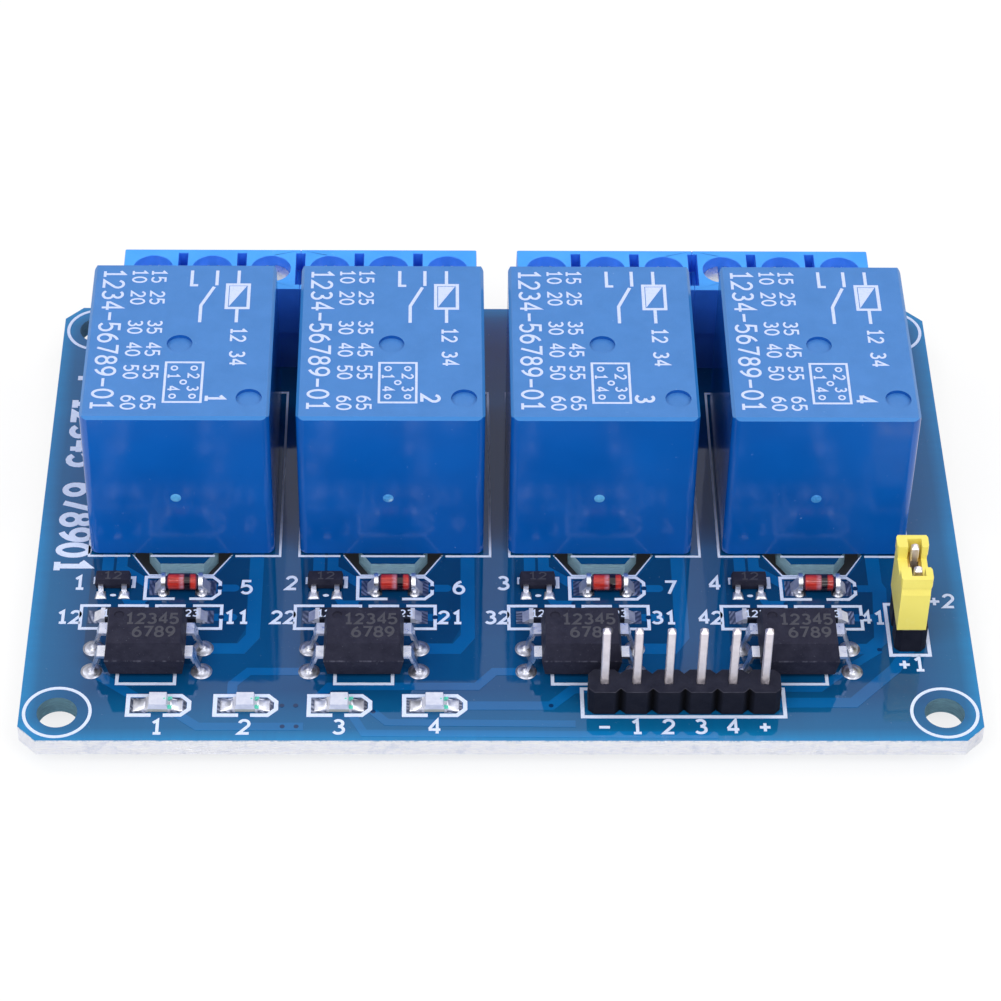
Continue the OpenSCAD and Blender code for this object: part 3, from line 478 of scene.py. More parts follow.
def pad_material():
    """Tinned pad with the swirl that its solder froze in."""
    s = Shader("pad_tin", Metallic=0.85)
    kind = {"wave_type": "RINGS", "rings_direction": "SPHERICAL"}
    rings = s.node("TexWave", kind, Vector=s.stretched(1, 1, 0), Scale=0.9, Distortion=5.0, Detail=2.0)
    swirl = s.times(rings.outputs["Fac"], s.noise(1.3, 3))
    colour = s.mix(swirl, (0.07, 0.09, 0.15), (0.44, 0.47, 0.60))
    return s.finish(Base_Color=colour, Roughness=0.35, Normal=s.bump(swirl, 0.02))


MATERIALS = {
    "board_laminate": board_material(),
    "relay_case": relay_material(),
    "terminal_plastic": terminal_material(),
    "black_plastic": moulding_material(),
    "header_plastic": header_material(),
    "lamp_body": lamp_material(),
    "diode_glass": glass_material(),
    "pad_tin": pad_material(),
}
# The other materials by the function that makes them, each with that function's values
RECIPES = {
    mask_material: {
        "mask_copper": ((0.001, 0.078, 0.265), (0.002, 0.112, 0.335), (0.003, 0.16, 0.40)),
        "mask_pour": ((0.001, 0.033, 0.112), (0.0015, 0.048, 0.145), (0.003, 0.08, 0.21)),
        "mask_via": ((0.001, 0.020, 0.085), (0.001, 0.030, 0.110), (0.001, 0.04, 0.14)),
    },
    plastic_material: {
        "gate_mark": ((0.14, 0.50, 0.85), (0.02, 0.22, 0.66), 0.35, 0.06, 5.0, 0.8, (0.6, 0.85, 1.0)),
        "relay_base_plastic": ((0.01, 0.06, 0.22), (0.006, 0.04, 0.16), 0.5),
        "resistor_body": ((0.008, 0.008, 0.014), (0.005, 0.005, 0.009), 0.3, 0.008),
        "cap_plastic": ((0.88, 0.77, 0.17), (0.83, 0.71, 0.13), 0.42, 0.008, 4.0, 0.1, (0.95, 0.92, 0.45)),
    },
    metal_material: {
        "iron": ((0.55, 0.56, 0.58), (0.42, 0.43, 0.46), 0.3),
        "screw_steel": ((0.66, 0.68, 0.72), (0.46, 0.49, 0.56), 0.30, 0.006, 5.0),
        "clamp_steel": ((0.68, 0.69, 0.72), (0.55, 0.56, 0.60), 0.32),
        "tinned_metal": ((0.92, 0.92, 0.97), (0.72, 0.73, 0.80), 0.30, 0.004),
        "dull_tin": ((0.80, 0.80, 0.86), (0.60, 0.61, 0.68), 0.45, 0.008, 2.5, 0.6),
        "pin_metal": ((0.80, 0.75, 0.80), (0.70, 0.65, 0.69), 0.50, 0.003, 6.0),
        "contact_brass": ((0.80, 0.60, 0.24), (0.66, 0.46, 0.16), 0.3),
        "copper_wire": ((0.72, 0.34, 0.14), (0.50, 0.22, 0.08), 0.35, 0.02, 8.0),
        "solder": ((0.72, 0.73, 0.80), (0.50, 0.51, 0.59), 0.40, 0.006, 1.6, 0.85),
        "dull_solder": ((0.50, 0.51, 0.58), (0.30, 0.31, 0.38), 0.36, 0.010, 1.8, 0.85),
    },
    ink_material: {
        "silk_ink": ((0.66, 0.74, 0.94), (0.54, 0.63, 0.86)),
        "case_ink": ((0.58, 0.66, 0.92), (0.42, 0.54, 0.85)),
        "faint_ink": ((0.042, 0.042, 0.056), (0.030, 0.030, 0.042)),
        "lamp_mark": ((0.08, 0.60, 0.45), (0.25, 0.70, 0.58)),
    },
}
for make, recipes in RECIPES.items():
    for name, values in recipes.items():
        MATERIALS[name] = make(name, *values)
# CAD nodes that look unlike the rest of their material slot
NODE_MATERIAL = {
    "input_header_base": "header_plastic",
    "jumper_header_base": "header_plastic",
    "resistor_caps": "dull_tin",
    "led_caps": "dull_tin",
}


def dress_cad_nodes():
    """Gives every CAD node the finish of its material slot."""
    slots = {entry["node"]: entry["material_slot"] for entry in frame["record"]["subparts"]}
    for name, item in NODES.items():
        key = NODE_MATERIAL.get(name, slots[name])
        item.data.materials.clear()
        item.data.materials.append(MATERIALS[key])


def soften(node, width):
    """Rounds a CAD node's sharp edges by modifiers, in millimetres."""
    item = NODES[node]
    weld = item.modifiers.new("weld", "WELD")
    weld.merge_threshold = mm(0.001)
    bevel = item.modifiers.new("edges", "BEVEL")
    bevel.width = mm(width)
    bevel.segments = 2
    bevel.limit_method = "ANGLE"
    bevel.angle_limit = math.radians(40)
    bevel.harden_normals = True


# ---- Shapes made here


class Plot:
    """Gathers flat and solid shapes, in millimetres, into one piece."""

    def __init__(self):
        self.mesh = bmesh.new()

    def corners(self, outline, level):
        """Vertices for (x, y) points at a height."""
        return [self.mesh.verts.new((*point, level)) for point in outline]

    def face(self, *vertices):
        self.mesh.faces.new(vertices)

    def band(self, lower, upper):
        """Faces between two closed rings of vertices."""
        for k in range(len(lower)):
            self.face(lower[k - 1], lower[k], upper[k], upper[k - 1])

    def prism(self, outline, low, high):
        """Pushes a closed outline of (x, y) points from one height to another."""
        lower, upper = self.corners(outline, low), self.corners(outline, high)
        self.face(*upper)
        self.face(*lower[::-1])
        self.band(lower, upper)

    def ribbon(self, points, width, low, high, closed=False):
        """A stripe along a path with mitred corners."""
        left, right = offset_path(points, width / 2, closed), offset_path(points, -width / 2, closed)
        count = len(points)
        spans = range(count if closed else count - 1)
        low_left, low_right = self.corners(left, low), self.corners(right, low)
        high_left, high_right = self.corners(left, high), self.corners(right, high)
        for k in spans:
            n = (k + 1) % count
            self.face(high_left[k], high_right[k], high_right[n], high_left[n])
            self.face(low_left[n], low_right[n], low_right[k], low_left[k])
            self.face(low_left[k], high_left[k], high_left[n], low_left[n])
            self.face(low_right[n], high_right[n], high_right[k], low_right[k])
        if not closed:
            for k in (0, count - 1):
                self.face(low_left[k], low_right[k], high_right[k], high_left[k])

    def text(self, words, x, y, size, low, high, line, turn=0.0, stretch=1.0):
        """Plain numerals, centred on (x, y), drawn with a pen of width line and turned in degrees."""
        step = size * stretch * NUMERAL_STEP
        spin = Matrix.Rotation(math.radians(turn), 2)
        start = -step * (len(words) - 1) / 2
        for place, word in enumerate(words):
            for layer, (points, closed) in enumerate(NUMERALS.get(word, [])):
                path = []
                for u, v in points:
                    spot = spin @ Vector((start + step * place + (u - 0.3) * size * stretch, (v - 0.5) * size))
                    path.append((x + spot.x, y + spot.y))
                self.ribbon(path, line, low, high + LAYER * layer, closed)

    def dome(self, x, y, low, radius, height):
        """A round crown on a disc."""
        turns = [math.pi / 8 * k for k in range(4)]
        self.turned(x, y, low, [(radius * math.cos(a), height * math.sin(a)) for a in turns], height, 18)

    def cone(self, x, y, low, radius, neck, height):
        """Solder that climbs a lead: flat at its rim, steep at its neck."""
        shares = [k / 7 for k in range(7)]
        rims = [(neck + (radius - neck) * (1 - share) ** 1.8, height * share**1.5) for share in shares]
        self.turned(x, y, low, rims, height, 28)

    def turned(self, x, y, low, rims, height, sides):
        """A closed turned form from (radius, height) rims, ending in a tip."""
        previous = None
        for reach, rise in rims:
            circle = self.corners(ring_points(x, y, reach, sides), low + rise)
            if previous is None:
                self.face(*circle[::-1])
            else:
                self.band(previous, circle)
            previous = circle
        tip = self.mesh.verts.new((x, y, low + height))
        for k in range(sides):
            self.face(previous[k - 1], previous[k], tip)

    def sheet(self, rows, low):
        """A closed form under a grid of (x, y, z) rows, flat below at a height."""
        grid = [[self.mesh.verts.new(point) for point in row] for row in rows]
        floor = [[self.mesh.verts.new((x, y, low)) for x, y, _ in row] for row in rows]
        last, end = len(rows) - 1, len(rows[0]) - 1
        for i in range(last):
            for j in range(end):
                self.face(grid[i][j], grid[i][j + 1], grid[i + 1][j + 1], grid[i + 1][j])
                self.face(floor[i][j], floor[i + 1][j], floor[i + 1][j + 1], floor[i][j + 1])
        rim = [(i, 0) for i in range(last)] + [(last, j) for j in range(end)]
        rim += [(last - i, end - j) for i, j in rim]
        for (i, j), (m, n) in zip(rim, rim[1:] + rim[:1]):
            self.face(grid[i][j], grid[m][n], floor[m][n], floor[i][j])

    def fillet(self, x, y, way, run, width, low, rise):
        """Hollow solder from a part's end face down to its pad, wider at its foot."""
        rows = []
        for along in (i / 7 for i in range(8)):
            lift = rise * (1 - along) ** 2.2 + 0.05 * (1 - along)
            half = width / 2 * (0.82 + 0.22 * along)
            row = []
            for across in (2 * j / 7 - 1 for j in range(8)):
                crown = math.sqrt(max(0.0, 1 - abs(across) ** 3))
                row.append((x + way * run * along, y + across * half, low + 0.01 + lift * crown))
            rows.append(row)
        self.sheet(rows, low - 0.02)

    def wedge(self, x, y, width, length, low, rise):
        """A flat drop of solder on a lead's foot, broader towards its toe; length may be negative."""
        rows = []
        for along in (i / 6 for i in range(7)):
            half = width / 2 * (0.82 + 0.20 * along)
            lift = rise * math.sqrt(max(0.0, 1 - (2 * along - 1) ** 4)) * (1 - 0.45 * along)
            row = []
            for across in (2 * j / 6 - 1 for j in range(7)):
                crown = math.sqrt(max(0.0, 1 - across**4))
                row.append((x + across * half, y + length * (0.5 - along), low + 0.01 + lift * crown))
            rows.append(row)
        self.sheet(rows, low - 0.02)

    def piece(self, name, material, slot, smooth=False):
        """Turns what was gathered into an object that rides on the board."""
        mesh = bpy.data.meshes.new(name)
        bmesh.ops.recalc_face_normals(self.mesh, faces=self.mesh.faces)
        for face in self.mesh.faces:
            face.smooth = smooth
        self.mesh.to_mesh(mesh)
        self.mesh.free()
        mesh.transform(Matrix.Scale(0.001, 4))
        mesh.materials.append(MATERIALS[material])
        item = add(name, mesh)
        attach(item, ROOT)


def sweep(x, y, reach_x, reach_y, start, stop, count=10):
    """Points along part of an oval, from one angle to another in degrees."""
    turns = [math.radians(start + (stop - start) * k / count) for k in range(count + 1)]
    return [(x + reach_x * math.cos(turn), y + reach_y * math.sin(turn)) for turn in turns]


def oval(x, y, reach_x, reach_y, count=20):
    return sweep(x, y, reach_x, reach_y, 0, 360, count)[:-1]


SIX = [
    (oval(0.3, 0.31, 0.28, 0.31), True),
    (sweep(0.62, 0.36, 0.60, 0.64, 180, 108, 7), False),
]
# From one numeral to the next, for a height of 1
NUMERAL_STEP = 0.84
# Strokes of each numeral on a body 0.6 wide and 1 high: paths, and whether each path closes
NUMERALS = {
    "0": [(oval(0.3, 0.5, 0.29, 0.5, 24), True)],
    "1": [([(0.10, 0.80), (0.34, 1.0), (0.34, 0.0)], False), ([(0.12, 0.0), (0.56, 0.0)], False)],
    "2": [([*sweep(0.3, 0.72, 0.27, 0.28, 165, -35), (0.02, 0.0), (0.58, 0.0)], False)],
    "3": [
        (sweep(0.28, 0.765, 0.25, 0.235, 145, -90), False),
        (sweep(0.28, 0.265, 0.30, 0.265, 90, -150), False),
    ],
    "4": [([(0.46, 0.0), (0.46, 1.0), (0.02, 0.36)], False), ([(-0.02, 0.29), (0.64, 0.29)], False)],
    "5": [([(0.54, 1.0), (0.09, 1.0), (0.05, 0.56), *sweep(0.27, 0.31, 0.30, 0.32, 110, -145)], False)],
    "6": SIX,
    "7": [([(0.0, 1.0), (0.58, 1.0), (0.20, 0.0)], False)],
    "8": [(oval(0.3, 0.765, 0.235, 0.235), True), (oval(0.3, 0.27, 0.285, 0.27), True)],
    "9": [([(0.6 - u, 1.0 - v) for u, v in points], closed) for points, closed in SIX],
    "+": [([(0.0, 0.45), (0.6, 0.45)], False), ([(0.3, 0.15), (0.3, 0.75)], False)],
    "-": [([(0.0, 0.45), (0.6, 0.45)], False)],
}


def offset_path(points, distance, closed):
    """The path moved sideways by a distance, its corners mitred."""
    path = [Vector(point) for point in points]
    count = len(path)
    moved = []
    for k, point in enumerate(path):
        before = path[k - 1] if closed or k > 0 else None
        after = path[(k + 1) % count] if closed or k < count - 1 else None
        normals = []
        for a, b in ((before, point), (point, after)):
            if a is not None and b is not None:
                along = (b - a).normalized()
                normals.append(Vector((-along.y, along.x)))
        mitre = sum(normals, Vector((0, 0))).normalized()
        reach = distance / max(0.35, mitre.dot(normals[0]))
        moved.append(tuple(point + mitre * reach))
    return moved


def ring_points(x, y, radius, count=48):
    return oval(x, y, radius, radius, count)


def rectangle(x, y, half_x, half_y):
    return [(x + sx * half_x, y + sy * half_y) for sx, sy in ((-1, -1), (1, -1), (1, 1), (-1, 1))]


def slot_line(leg, start):
    """The open half octagon along a slot, about its common pin; its ends are at y = start."""
    cut = leg * SLOT_CUT
    half = [(-leg, start), (-leg, cut * SLOT_SLANT - leg), (cut - leg, -leg)]
    return half + [(-x, y) for x, y in reversed(half)]


# ---- Copper under the mask

# Layers that cross are set apart by a hair, so that no two faces share a plane
LAYER = 0.0015
COPPER_Z = (TOP - 0.01, TOP + 0.020)
POUR_Z = (TOP - 0.01, TOP + 0.012)
VIA_Z = (TOP - 0.01, TOP + 0.032)
SILK_Z = (TOP - 0.005, TOP + 0.040)
PAD_Z = (TOP - 0.005, TOP + 0.035)


def channel_pour(plot, k):
    """The ground area of one channel, between its parts and its coil track."""
    c, front = CHANNEL_X[k], RELAYS[k].low.y
    low = OPTOS[k].mid.y - 0.4
    row = OPTOS[k].mid.y + LEAD_Y + 0.65
    back = front - 0.4
    beside_coil = [(c + 5.55, back), (c + 5.5, front - 8.5), (c + 4.85, row)]
    if k == CHANNELS - 1:
        beside_coil = [(c + 4.45, back), (c + 4.6, front - 4.1), (c + 4.3, front - 9.4), (c + 3.6, row)]
    pin_y = front + PIN_INSET
    along_slot = [(c + x, pin_y + y) for x, y in slot_line(SLOT_REACH + 0.3, back - pin_y)]
    parts = [(c + 2.2, row), (c + 2.2, low), (c - 6.4, low), (c - 7.4, low + 1.0)]
    plot.prism([(c - 7.4, back), *along_slot, *beside_coil, *parts][::-1], *POUR_Z)


def channel_tracks(plot, vias, k):
    """Tracks of one channel: relay coil, transistor, diode, resistors and optocoupler."""
    c, front = CHANNEL_X[k], RELAYS[k].low.y
    opto, diode, transistor = OPTOS[k], DIODES[k], TRANSISTORS[k]
    row = opto.mid.y + LEAD_Y
    pad = (opto.mid.x + LEAD_X, row)
    under = front + 6
    coil = [(c + 6.2, under), (c + 6.15, front - 9.3), (c + 5.25, row)]
    if k == CHANNELS - 1:
        bend = [(c + 4.95, front - 3.2), (c + 5.25, front - 3.9)]
        coil = [(c + 4.95, under), *bend, (c + 4.9, front - 9.6), (c + 3.9, row)]
    plot.ribbon([*coil, pad], 1.15, *COPPER_Z)
    x = transistor.mid.x
    plot.ribbon([(x - 0.6, under), (x - 0.6, transistor.high.y + 0.9)], 0.95, *COPPER_Z)
    left = c - SLOT_REACH - 0.85
    plot.ribbon([(left, under), (left, front - 1.5), (diode.low.x - 0.9, diode.mid.y)], 0.9, *COPPER_Z)
    for part, reach in ((diode, DIODE_REACH), (RESISTORS[2 * k + 1], RESISTOR_REACH)):
        y = part.mid.y
        end = part.high.x + 2.9
        plot.ribbon([(part.high.x + 0.6, y), (end, y)], 0.8, *COPPER_Z)
        plot.prism(ring_points(end, y, 0.4, 20), COPPER_Z[0], COPPER_Z[1] + 0.003)
        vias.prism(ring_points(part.mid.x + reach, y, 0.24, 14), VIA_Z[0], SILK_Z[1] + 0.004)
    base = transistor.low.y - 1.5
    plot.ribbon([(x + TRANSISTOR_PAD_X, transistor.low.y - 0.7), (x + 1.3, base), (x + 2.9, base)], 0.6, *COPPER_Z)
    vias.prism(ring_points(x + 2.9, base, 0.17, 14), *VIA_Z)


def lamp_tracks(plot, vias):
    """Tracks that run from the lamps and optocouplers to the input header."""
    row = LEDS[0].mid.y
    lead = OPTOS[0].mid.y - LEAD_Y
    edge = BOARD.low.y
    first, second, third, fourth = LEDS
    low = edge + 1.5
    left, right = HEADER.low.x, HEADER.high.x
    tracks = [
        (0.9, (OPTOS[0].mid.x - LEAD_X, lead), (first.low.x - 1.1, row + 0.95), (first.low.x - 0.5, row + 0.4)),
        (
            0.8, (second.low.x - 0.3, row), (second.low.x - 0.3, row + 2.35),
            (second.low.x + 0.95, lead), (OPTOS[1].mid.x - LEAD_X, lead),
        ),
        (0.8, (first.high.x + 0.6, row - 0.8), (first.high.x + 2.4, low), (third.low.x - 2.0, low)),
        (
            0.8, (third.low.x - 0.9, row + 0.9), (third.low.x, row + 2.1),
            (fourth.high.x + 2.6, row + 2.1), (fourth.high.x + 4.0, lead), (OPTOS[2].mid.x - LEAD_X, lead),
        ),
        (0.7, (third.mid.x + 1.1, row - 1.15), (third.mid.x + 2.0, edge + 0.8), (HEADER.mid.x + 2.6, edge + 0.6)),
        (0.7, (third.high.x + 1.9, row - 0.65), (third.high.x + 3.0, edge + 1.95), (left - 1.0, edge + 1.8)),
        (0.9, (fourth.high.x + 1.25, row), (left - 2.9, row), (left - 1.1, row + 1.8), (left + 0.6, row + 1.9)),
        (
            1.05, (right, row + 0.35), (right + 6.0, row + 0.35),
            (right + 9.6, JUMPER.low.y - 1.9), (JUMPER.mid.x, JUMPER.low.y + 0.4),
        ),
        (
            0.7, (right - 2.0, row + 1.9), (right + 3.4, row + 1.9),
            (right + 6.2, row + 4.4), (JUMPER.low.x - 1.2, row + 6.2),
        ),
    ]
    for layer, (width, *points) in enumerate(tracks):
        plot.ribbon(points, width, COPPER_Z[0], COPPER_Z[1] + 0.001 * (1 + layer))
    for x, y in (
        (second.high.x + 2.1, row), (second.high.x + 3.2, row),
        (second.high.x + 2.2, low), (second.high.x + 3.3, low),
        (third.high.x + 1.9, row - 0.65), (left - 2.9, row), (JUMPER.low.x - 1.2, row + 6.2),
    ):
        vias.prism(ring_points(x, y, 0.2, 14), *VIA_Z)


def make_copper():
    pours, tracks, vias = Plot(), Plot(), Plot()
    for k in range(CHANNELS):
        channel_pour(pours, k)
        channel_tracks(tracks, vias, k)
    lamp_tracks(tracks, vias)
    pours.piece("pours", "mask_pour", slot="board_laminate")
    tracks.piece("tracks", "mask_copper", slot="board_laminate")
    vias.piece("vias", "mask_via", slot="board_laminate")


# ---- Printing on the board

LABEL = 1.4
SMALL_LABEL = 1.3


def numeral(plot, words, x, y, size=LABEL):
    plot.text(words, x, y, size, *SILK_Z, line=0.25)


def relay_print(plot, k):
    """Outline round a relay and a fine line along the outside of its slot."""
    relay, c = RELAYS[k], CHANNEL_X[k]
    x0, x1 = c - 7.75, c + 8.05
    y0, y1 = relay.low.y - 0.06, relay.high.y + 1.0
    line = 0.2
    outer, inner = SLOT_REACH + 0.25, SLOT_INNER - 0.2
    plot.ribbon([(c - outer, y0), (x0, y0), (x0, y1), (x1, y1), (x1, y0), (c + outer, y0)], line, *SILK_Z)
    plot.ribbon([(c - inner, y0), (c + inner, y0)], line, *SILK_Z)
    pin_y = relay.low.y + PIN_INSET
    path = offset_path(slot_line(SLOT_REACH, y0 - pin_y), -0.10, False)
    plot.ribbon([(c + x, pin_y + y) for x, y in path], 0.12, SILK_Z[0], SILK_Z[1] - 0.006)


def bracket(plot, x, y, half_x, half_y, line, left_gap, right_gap, cut=0.0):
    """A part's outline: two brackets that face each other, the right one with cut corners."""
    x0, x1, y0, y1 = x - half_x, x + half_x, y - half_y, y + half_y
    plot.ribbon([(x - left_gap, y0), (x0, y0), (x0, y1), (x - left_gap, y1)], line, *SILK_Z)
    nose = [(x1 - cut, y0), (x1, y0 + cut), (x1, y1 - cut), (x1 - cut, y1)] if cut else [(x1, y0), (x1, y1)]
    plot.ribbon([(x + right_gap, y0), *nose, (x + right_gap, y1)], line, *SILK_Z)


def small_part_print(plot, k):
    """Outlines and numerals of one channel's diode, resistors, optocoupler and transistor."""
    line = 0.27
    diode, opto, transistor = DIODES[k], OPTOS[k], TRANSISTORS[k]
    bracket(plot, *diode.mid.xy, DIODE_REACH, 1.25, line, 0.6, 0.6, 0.6)
    for part in RESISTORS[2 * k : 2 * k + 2]:
        bracket(plot, *part.mid.xy, RESISTOR_REACH, 1.3, line, 0.3, 0.3)
    x0, x1, y = opto.mid.x - 2.3, opto.mid.x + 2.3, opto.low.y - 0.35
    plot.ribbon([(x0, opto.mid.y), (x0, y), (x1, y), (x1, opto.mid.y)], line, *SILK_Z)
    right, top, low = transistor.high.x + 0.22, transistor.high.y + 0.15, transistor.mid.y - 0.25
    plot.ribbon([(right - 0.5, top), (right, top), (right, low), (right - 0.2, low)], 0.3, *SILK_Z)
    left = transistor.low.x - 0.12
    plot.ribbon([(left + 0.3, top), (left, top), (left, top - 0.7)], 0.16, *SILK_Z)
    plot.prism(oval(transistor.mid.x + 0.05, transistor.low.y - TRANSISTOR_PAD_Y, 0.25, 0.14), *SILK_Z)
    last = k == CHANNELS - 1
    numeral(plot, str(k + 1), transistor.low.x - 1.35, transistor.mid.y + 0.2)
    if not last:
        numeral(plot, str(k + 5), diode.high.x + 3.9, diode.mid.y + 0.1)
    y = RESISTORS[2 * k].mid.y
    numeral(plot, str(10 * k + 12), RESISTORS[2 * k].low.x - 2.95, y, SMALL_LABEL)
    numeral(plot, str(10 * k + 11), RESISTORS[2 * k + 1].high.x + (2.9 if last else 3.25), y, SMALL_LABEL)


def lamp_print(plot):
    for k, led in enumerate(LEDS):
        x, y = led.mid.xy
        bracket(plot, x + 0.025, y, 2.425, 1.05, 0.34, 0.55, 0.4, 0.65)
        numeral(plot, str(k + 1), x, BOARD.low.y + 1.45)


def header_print(plot):
    for box, margin_x, margin_y in ((HEADER, 0.42, 0.24), (JUMPER, 0.3, 0.34)):
        frame_line = rectangle(box.mid.x, box.mid.y - 0.04, box.size.x / 2 + margin_x, box.size.y / 2 + margin_y)
        plot.ribbon(frame_line, 0.3, *SILK_Z, closed=True)
    for pin, words in zip(HEADER_PINS, "-1234+"):
        numeral(plot, words, pin.mid.x, BOARD.low.y + 1.5)
    numeral(plot, "+1", JUMPER.mid.x, JUMPER.low.y - 1.35)
    numeral(plot, "+2", JUMPER.high.x + 1.85, JUMPER.high.y + 0.7)


def side_print(plot):
    """A row of bold numerals down the left side."""
    words, size = "4 12345 678901", 2.5
    high, low = BOARD.high.y - 8.2, BOARD.low.y + 18.6
    stretch = (high - low) / (len(words) * size * NUMERAL_STEP)
    plot.text(words, BOARD.low.x + 2.95, (high + low) / 2, size, *SILK_Z, line=0.52, turn=-90, stretch=stretch)


def hole_rings(plot):
    half_x, half_y = BOARD.size.x / 2 - HOLE_INSET, BOARD.size.y / 2 - HOLE_INSET
    for x, y in rectangle(*BOARD.mid.xy, half_x, half_y):
        plot.ribbon(ring_points(x, y, 2.62), 0.26, *SILK_Z, closed=True)


def make_board_print():
    plot = Plot()
    for k in range(CHANNELS):
        relay_print(plot, k)
        small_part_print(plot, k)
    lamp_print(plot)
    header_print(plot)
    side_print(plot)
    hole_rings(plot)
    plot.piece("board_print", "silk_ink", slot="board_laminate")


# ---- Solder and pads


def make_pads():
    """Swirled tin on the pads, and the bright solder that climbs each lead."""
    pads, solder, joints = Plot(), Plot(), Plot()
    foot = TOP + 0.03
    for k in range(CHANNELS):
        opto, diode, transistor = OPTOS[k], DIODES[k], TRANSISTORS[k]
        for x, y in rectangle(*opto.mid.xy, LEAD_X, LEAD_Y):
            joints.prism(ring_points(x, y, 0.86, 36), *PAD_Z)
            joints.cone(x, y, foot, 0.80, 0.26, 0.34)
        for sx in (-1, 1):
            pads.prism(rectangle(diode.mid.x + sx * DIODE_PAD_X, diode.mid.y, 0.85, 0.85), *PAD_Z)
            x = diode.mid.x + sx * (diode.size.x / 2 + 0.25)
            solder.cone(x, diode.low.y + 0.05, foot, 0.42, 0.18, 0.42)
            x = transistor.mid.x + sx * TRANSISTOR_PAD_X
            solder.wedge(x, transistor.low.y - TRANSISTOR_PAD_Y, 0.92, 0.86, foot - 0.02, 0.24)
        solder.wedge(transistor.mid.x, transistor.high.y + 0.55, 0.74, -0.6, foot - 0.02, 0.16)
    for sx in (-1, 1):
        for part in RESISTORS:
            x, y = part.mid.xy
            pads.prism(rectangle(x + sx * CHIP_PAD_X, y, 0.55, 0.72), *PAD_Z)
            joints.fillet(x + sx * part.size.x / 2, y, sx, 0.5, 0.9, foot, 0.28)
        for part in LEDS:
            x, y = part.mid.xy
            pads.prism(rectangle(x + sx * CHIP_PAD_X, y, 0.72, 0.78), *PAD_Z)
            solder.fillet(x + sx * (part.size.x / 2 + 0.18), y, sx, 1.0, 1.25, foot, 0.42)
    pads.piece("pads", "pad_tin", slot="solder")
    solder.piece("solder_fillets", "solder", slot="solder", smooth=True)
    joints.piece("solder_cones", "dull_solder", slot="solder", smooth=True)


def make_lamp_marks():
    """Green polarity marks on the base and the top of each lamp."""
    plot = Plot()
    for led in LEDS:
        base, top = led.low.z, led.high.z
        for sy in (-1, 1):
            plot.prism(rectangle(led.high.x + 0.09, led.mid.y + sy * 0.44, 0.21, 0.18), base + 0.28, base + 0.36)
        plot.prism(rectangle(led.mid.x + 0.525, led.mid.y, 0.075, 0.06), top - 0.01, top + 0.01)
    plot.piece("lamp_marks", "lamp_mark", slot="lamp_body")


# ---- Printing on the relays and small parts


def contact_symbol(plot, x, y, level):
    """A plain changeover contact beside a coil, as drawn in any circuit diagram."""
    line = 0.27
    plot.ribbon(rectangle(x + 3.0, y, 0.9, 1.5), line, *level, closed=True)
    plot.prism([(x + 2.3, y - 1.3), (x + 3.7, y + 1.3), (x + 2.3, y + 1.3)], level[0], level[1] - 0.004)
    wires = (
        ((3.0, 1.64), (3.0, 3.3)),
        ((3.0, -1.64), (3.0, -3.3)),
        ((0.0, -3.3), (0.0, -1.2), (1.0, 1.2)),
        ((-0.9, 3.3), (-0.9, 1.4), (-0.35, 1.4)),
        ((1.2, 3.3), (1.2, 1.4)),
    )
    for wire in wires:
        plot.ribbon([(x + dx, y + dy) for dx, dy in wire], line, *level)


def pin_plan(plot, x, y, level):
    """The places of the five pins, numbered, in a plain frame."""
    plot.ribbon(rectangle(x, y, 1.5, 2.4), 0.2, *level, closed=True)
    corners = (("1", -0.8, 1.7, -1), ("2", 0.8, 1.7, -1), ("3", 0.8, -1.7, 1), ("4", -0.8, -1.7, 1))
    for word, dx, dy, side in corners:
        plot.ribbon(ring_points(x + dx, y + dy, 0.24, 14), 0.14, *level, closed=True)
        plot.text(word, x + dx, y + dy + side * 0.95, 0.85, *level, turn=-90, line=0.15)
    plot.ribbon(ring_points(x, y, 0.24, 14), 0.14, *level, closed=True)


def make_relay_print():
    """Rows of plain numerals, a contact symbol and a pin plan on each relay."""
    for k, relay in enumerate(RELAYS):
        plot = Plot()
        level = (relay.high.z - 0.005, relay.high.z + 0.016)
        cx, cy = relay.mid.x, relay.mid.y
        columns = (
            (-5.85, 0.1, "1234-56789-01", 1.62, 0.23),
            (-3.75, 0.1, "10 20  30 40 50  60", 1.10, 0.17),
            (-2.15, 0.1, "15 25  35 45 55  65", 1.10, 0.17),
            (4.75, -0.9, "12 34", 1.15, 0.19),
            (3.2, -7.2, str(k + 1), 1.4, 0.26),
        )
        for x, y, words, size, line in columns:
            plot.text(words, cx + x, cy + y, size, *level, line=line, turn=-90)
        contact_symbol(plot, cx + 1.5, cy + 5.4, level)
        pin_plan(plot, cx + 0.55, cy - 5.3, level)
        plot.piece(f"relay_print_{k + 1}", "case_ink", slot="relay_case")


GATE_Z = TOP + 6.6


def make_gate_marks():
    """The small rough nub left on the front of each relay where its moulding was fed."""
    for k, relay in enumerate(RELAYS):
        plot = Plot()
        plot.dome(0, 0, -0.02, 0.46, 0.08)
        turn = Matrix.Rotation(math.radians(90), 4, "X")
        plot.mesh.transform(Matrix.Translation((relay.mid.x - 0.25, relay.low.y, GATE_Z)) @ turn)
        plot.piece(f"gate_mark_{k + 1}", "gate_mark", slot="relay_case")


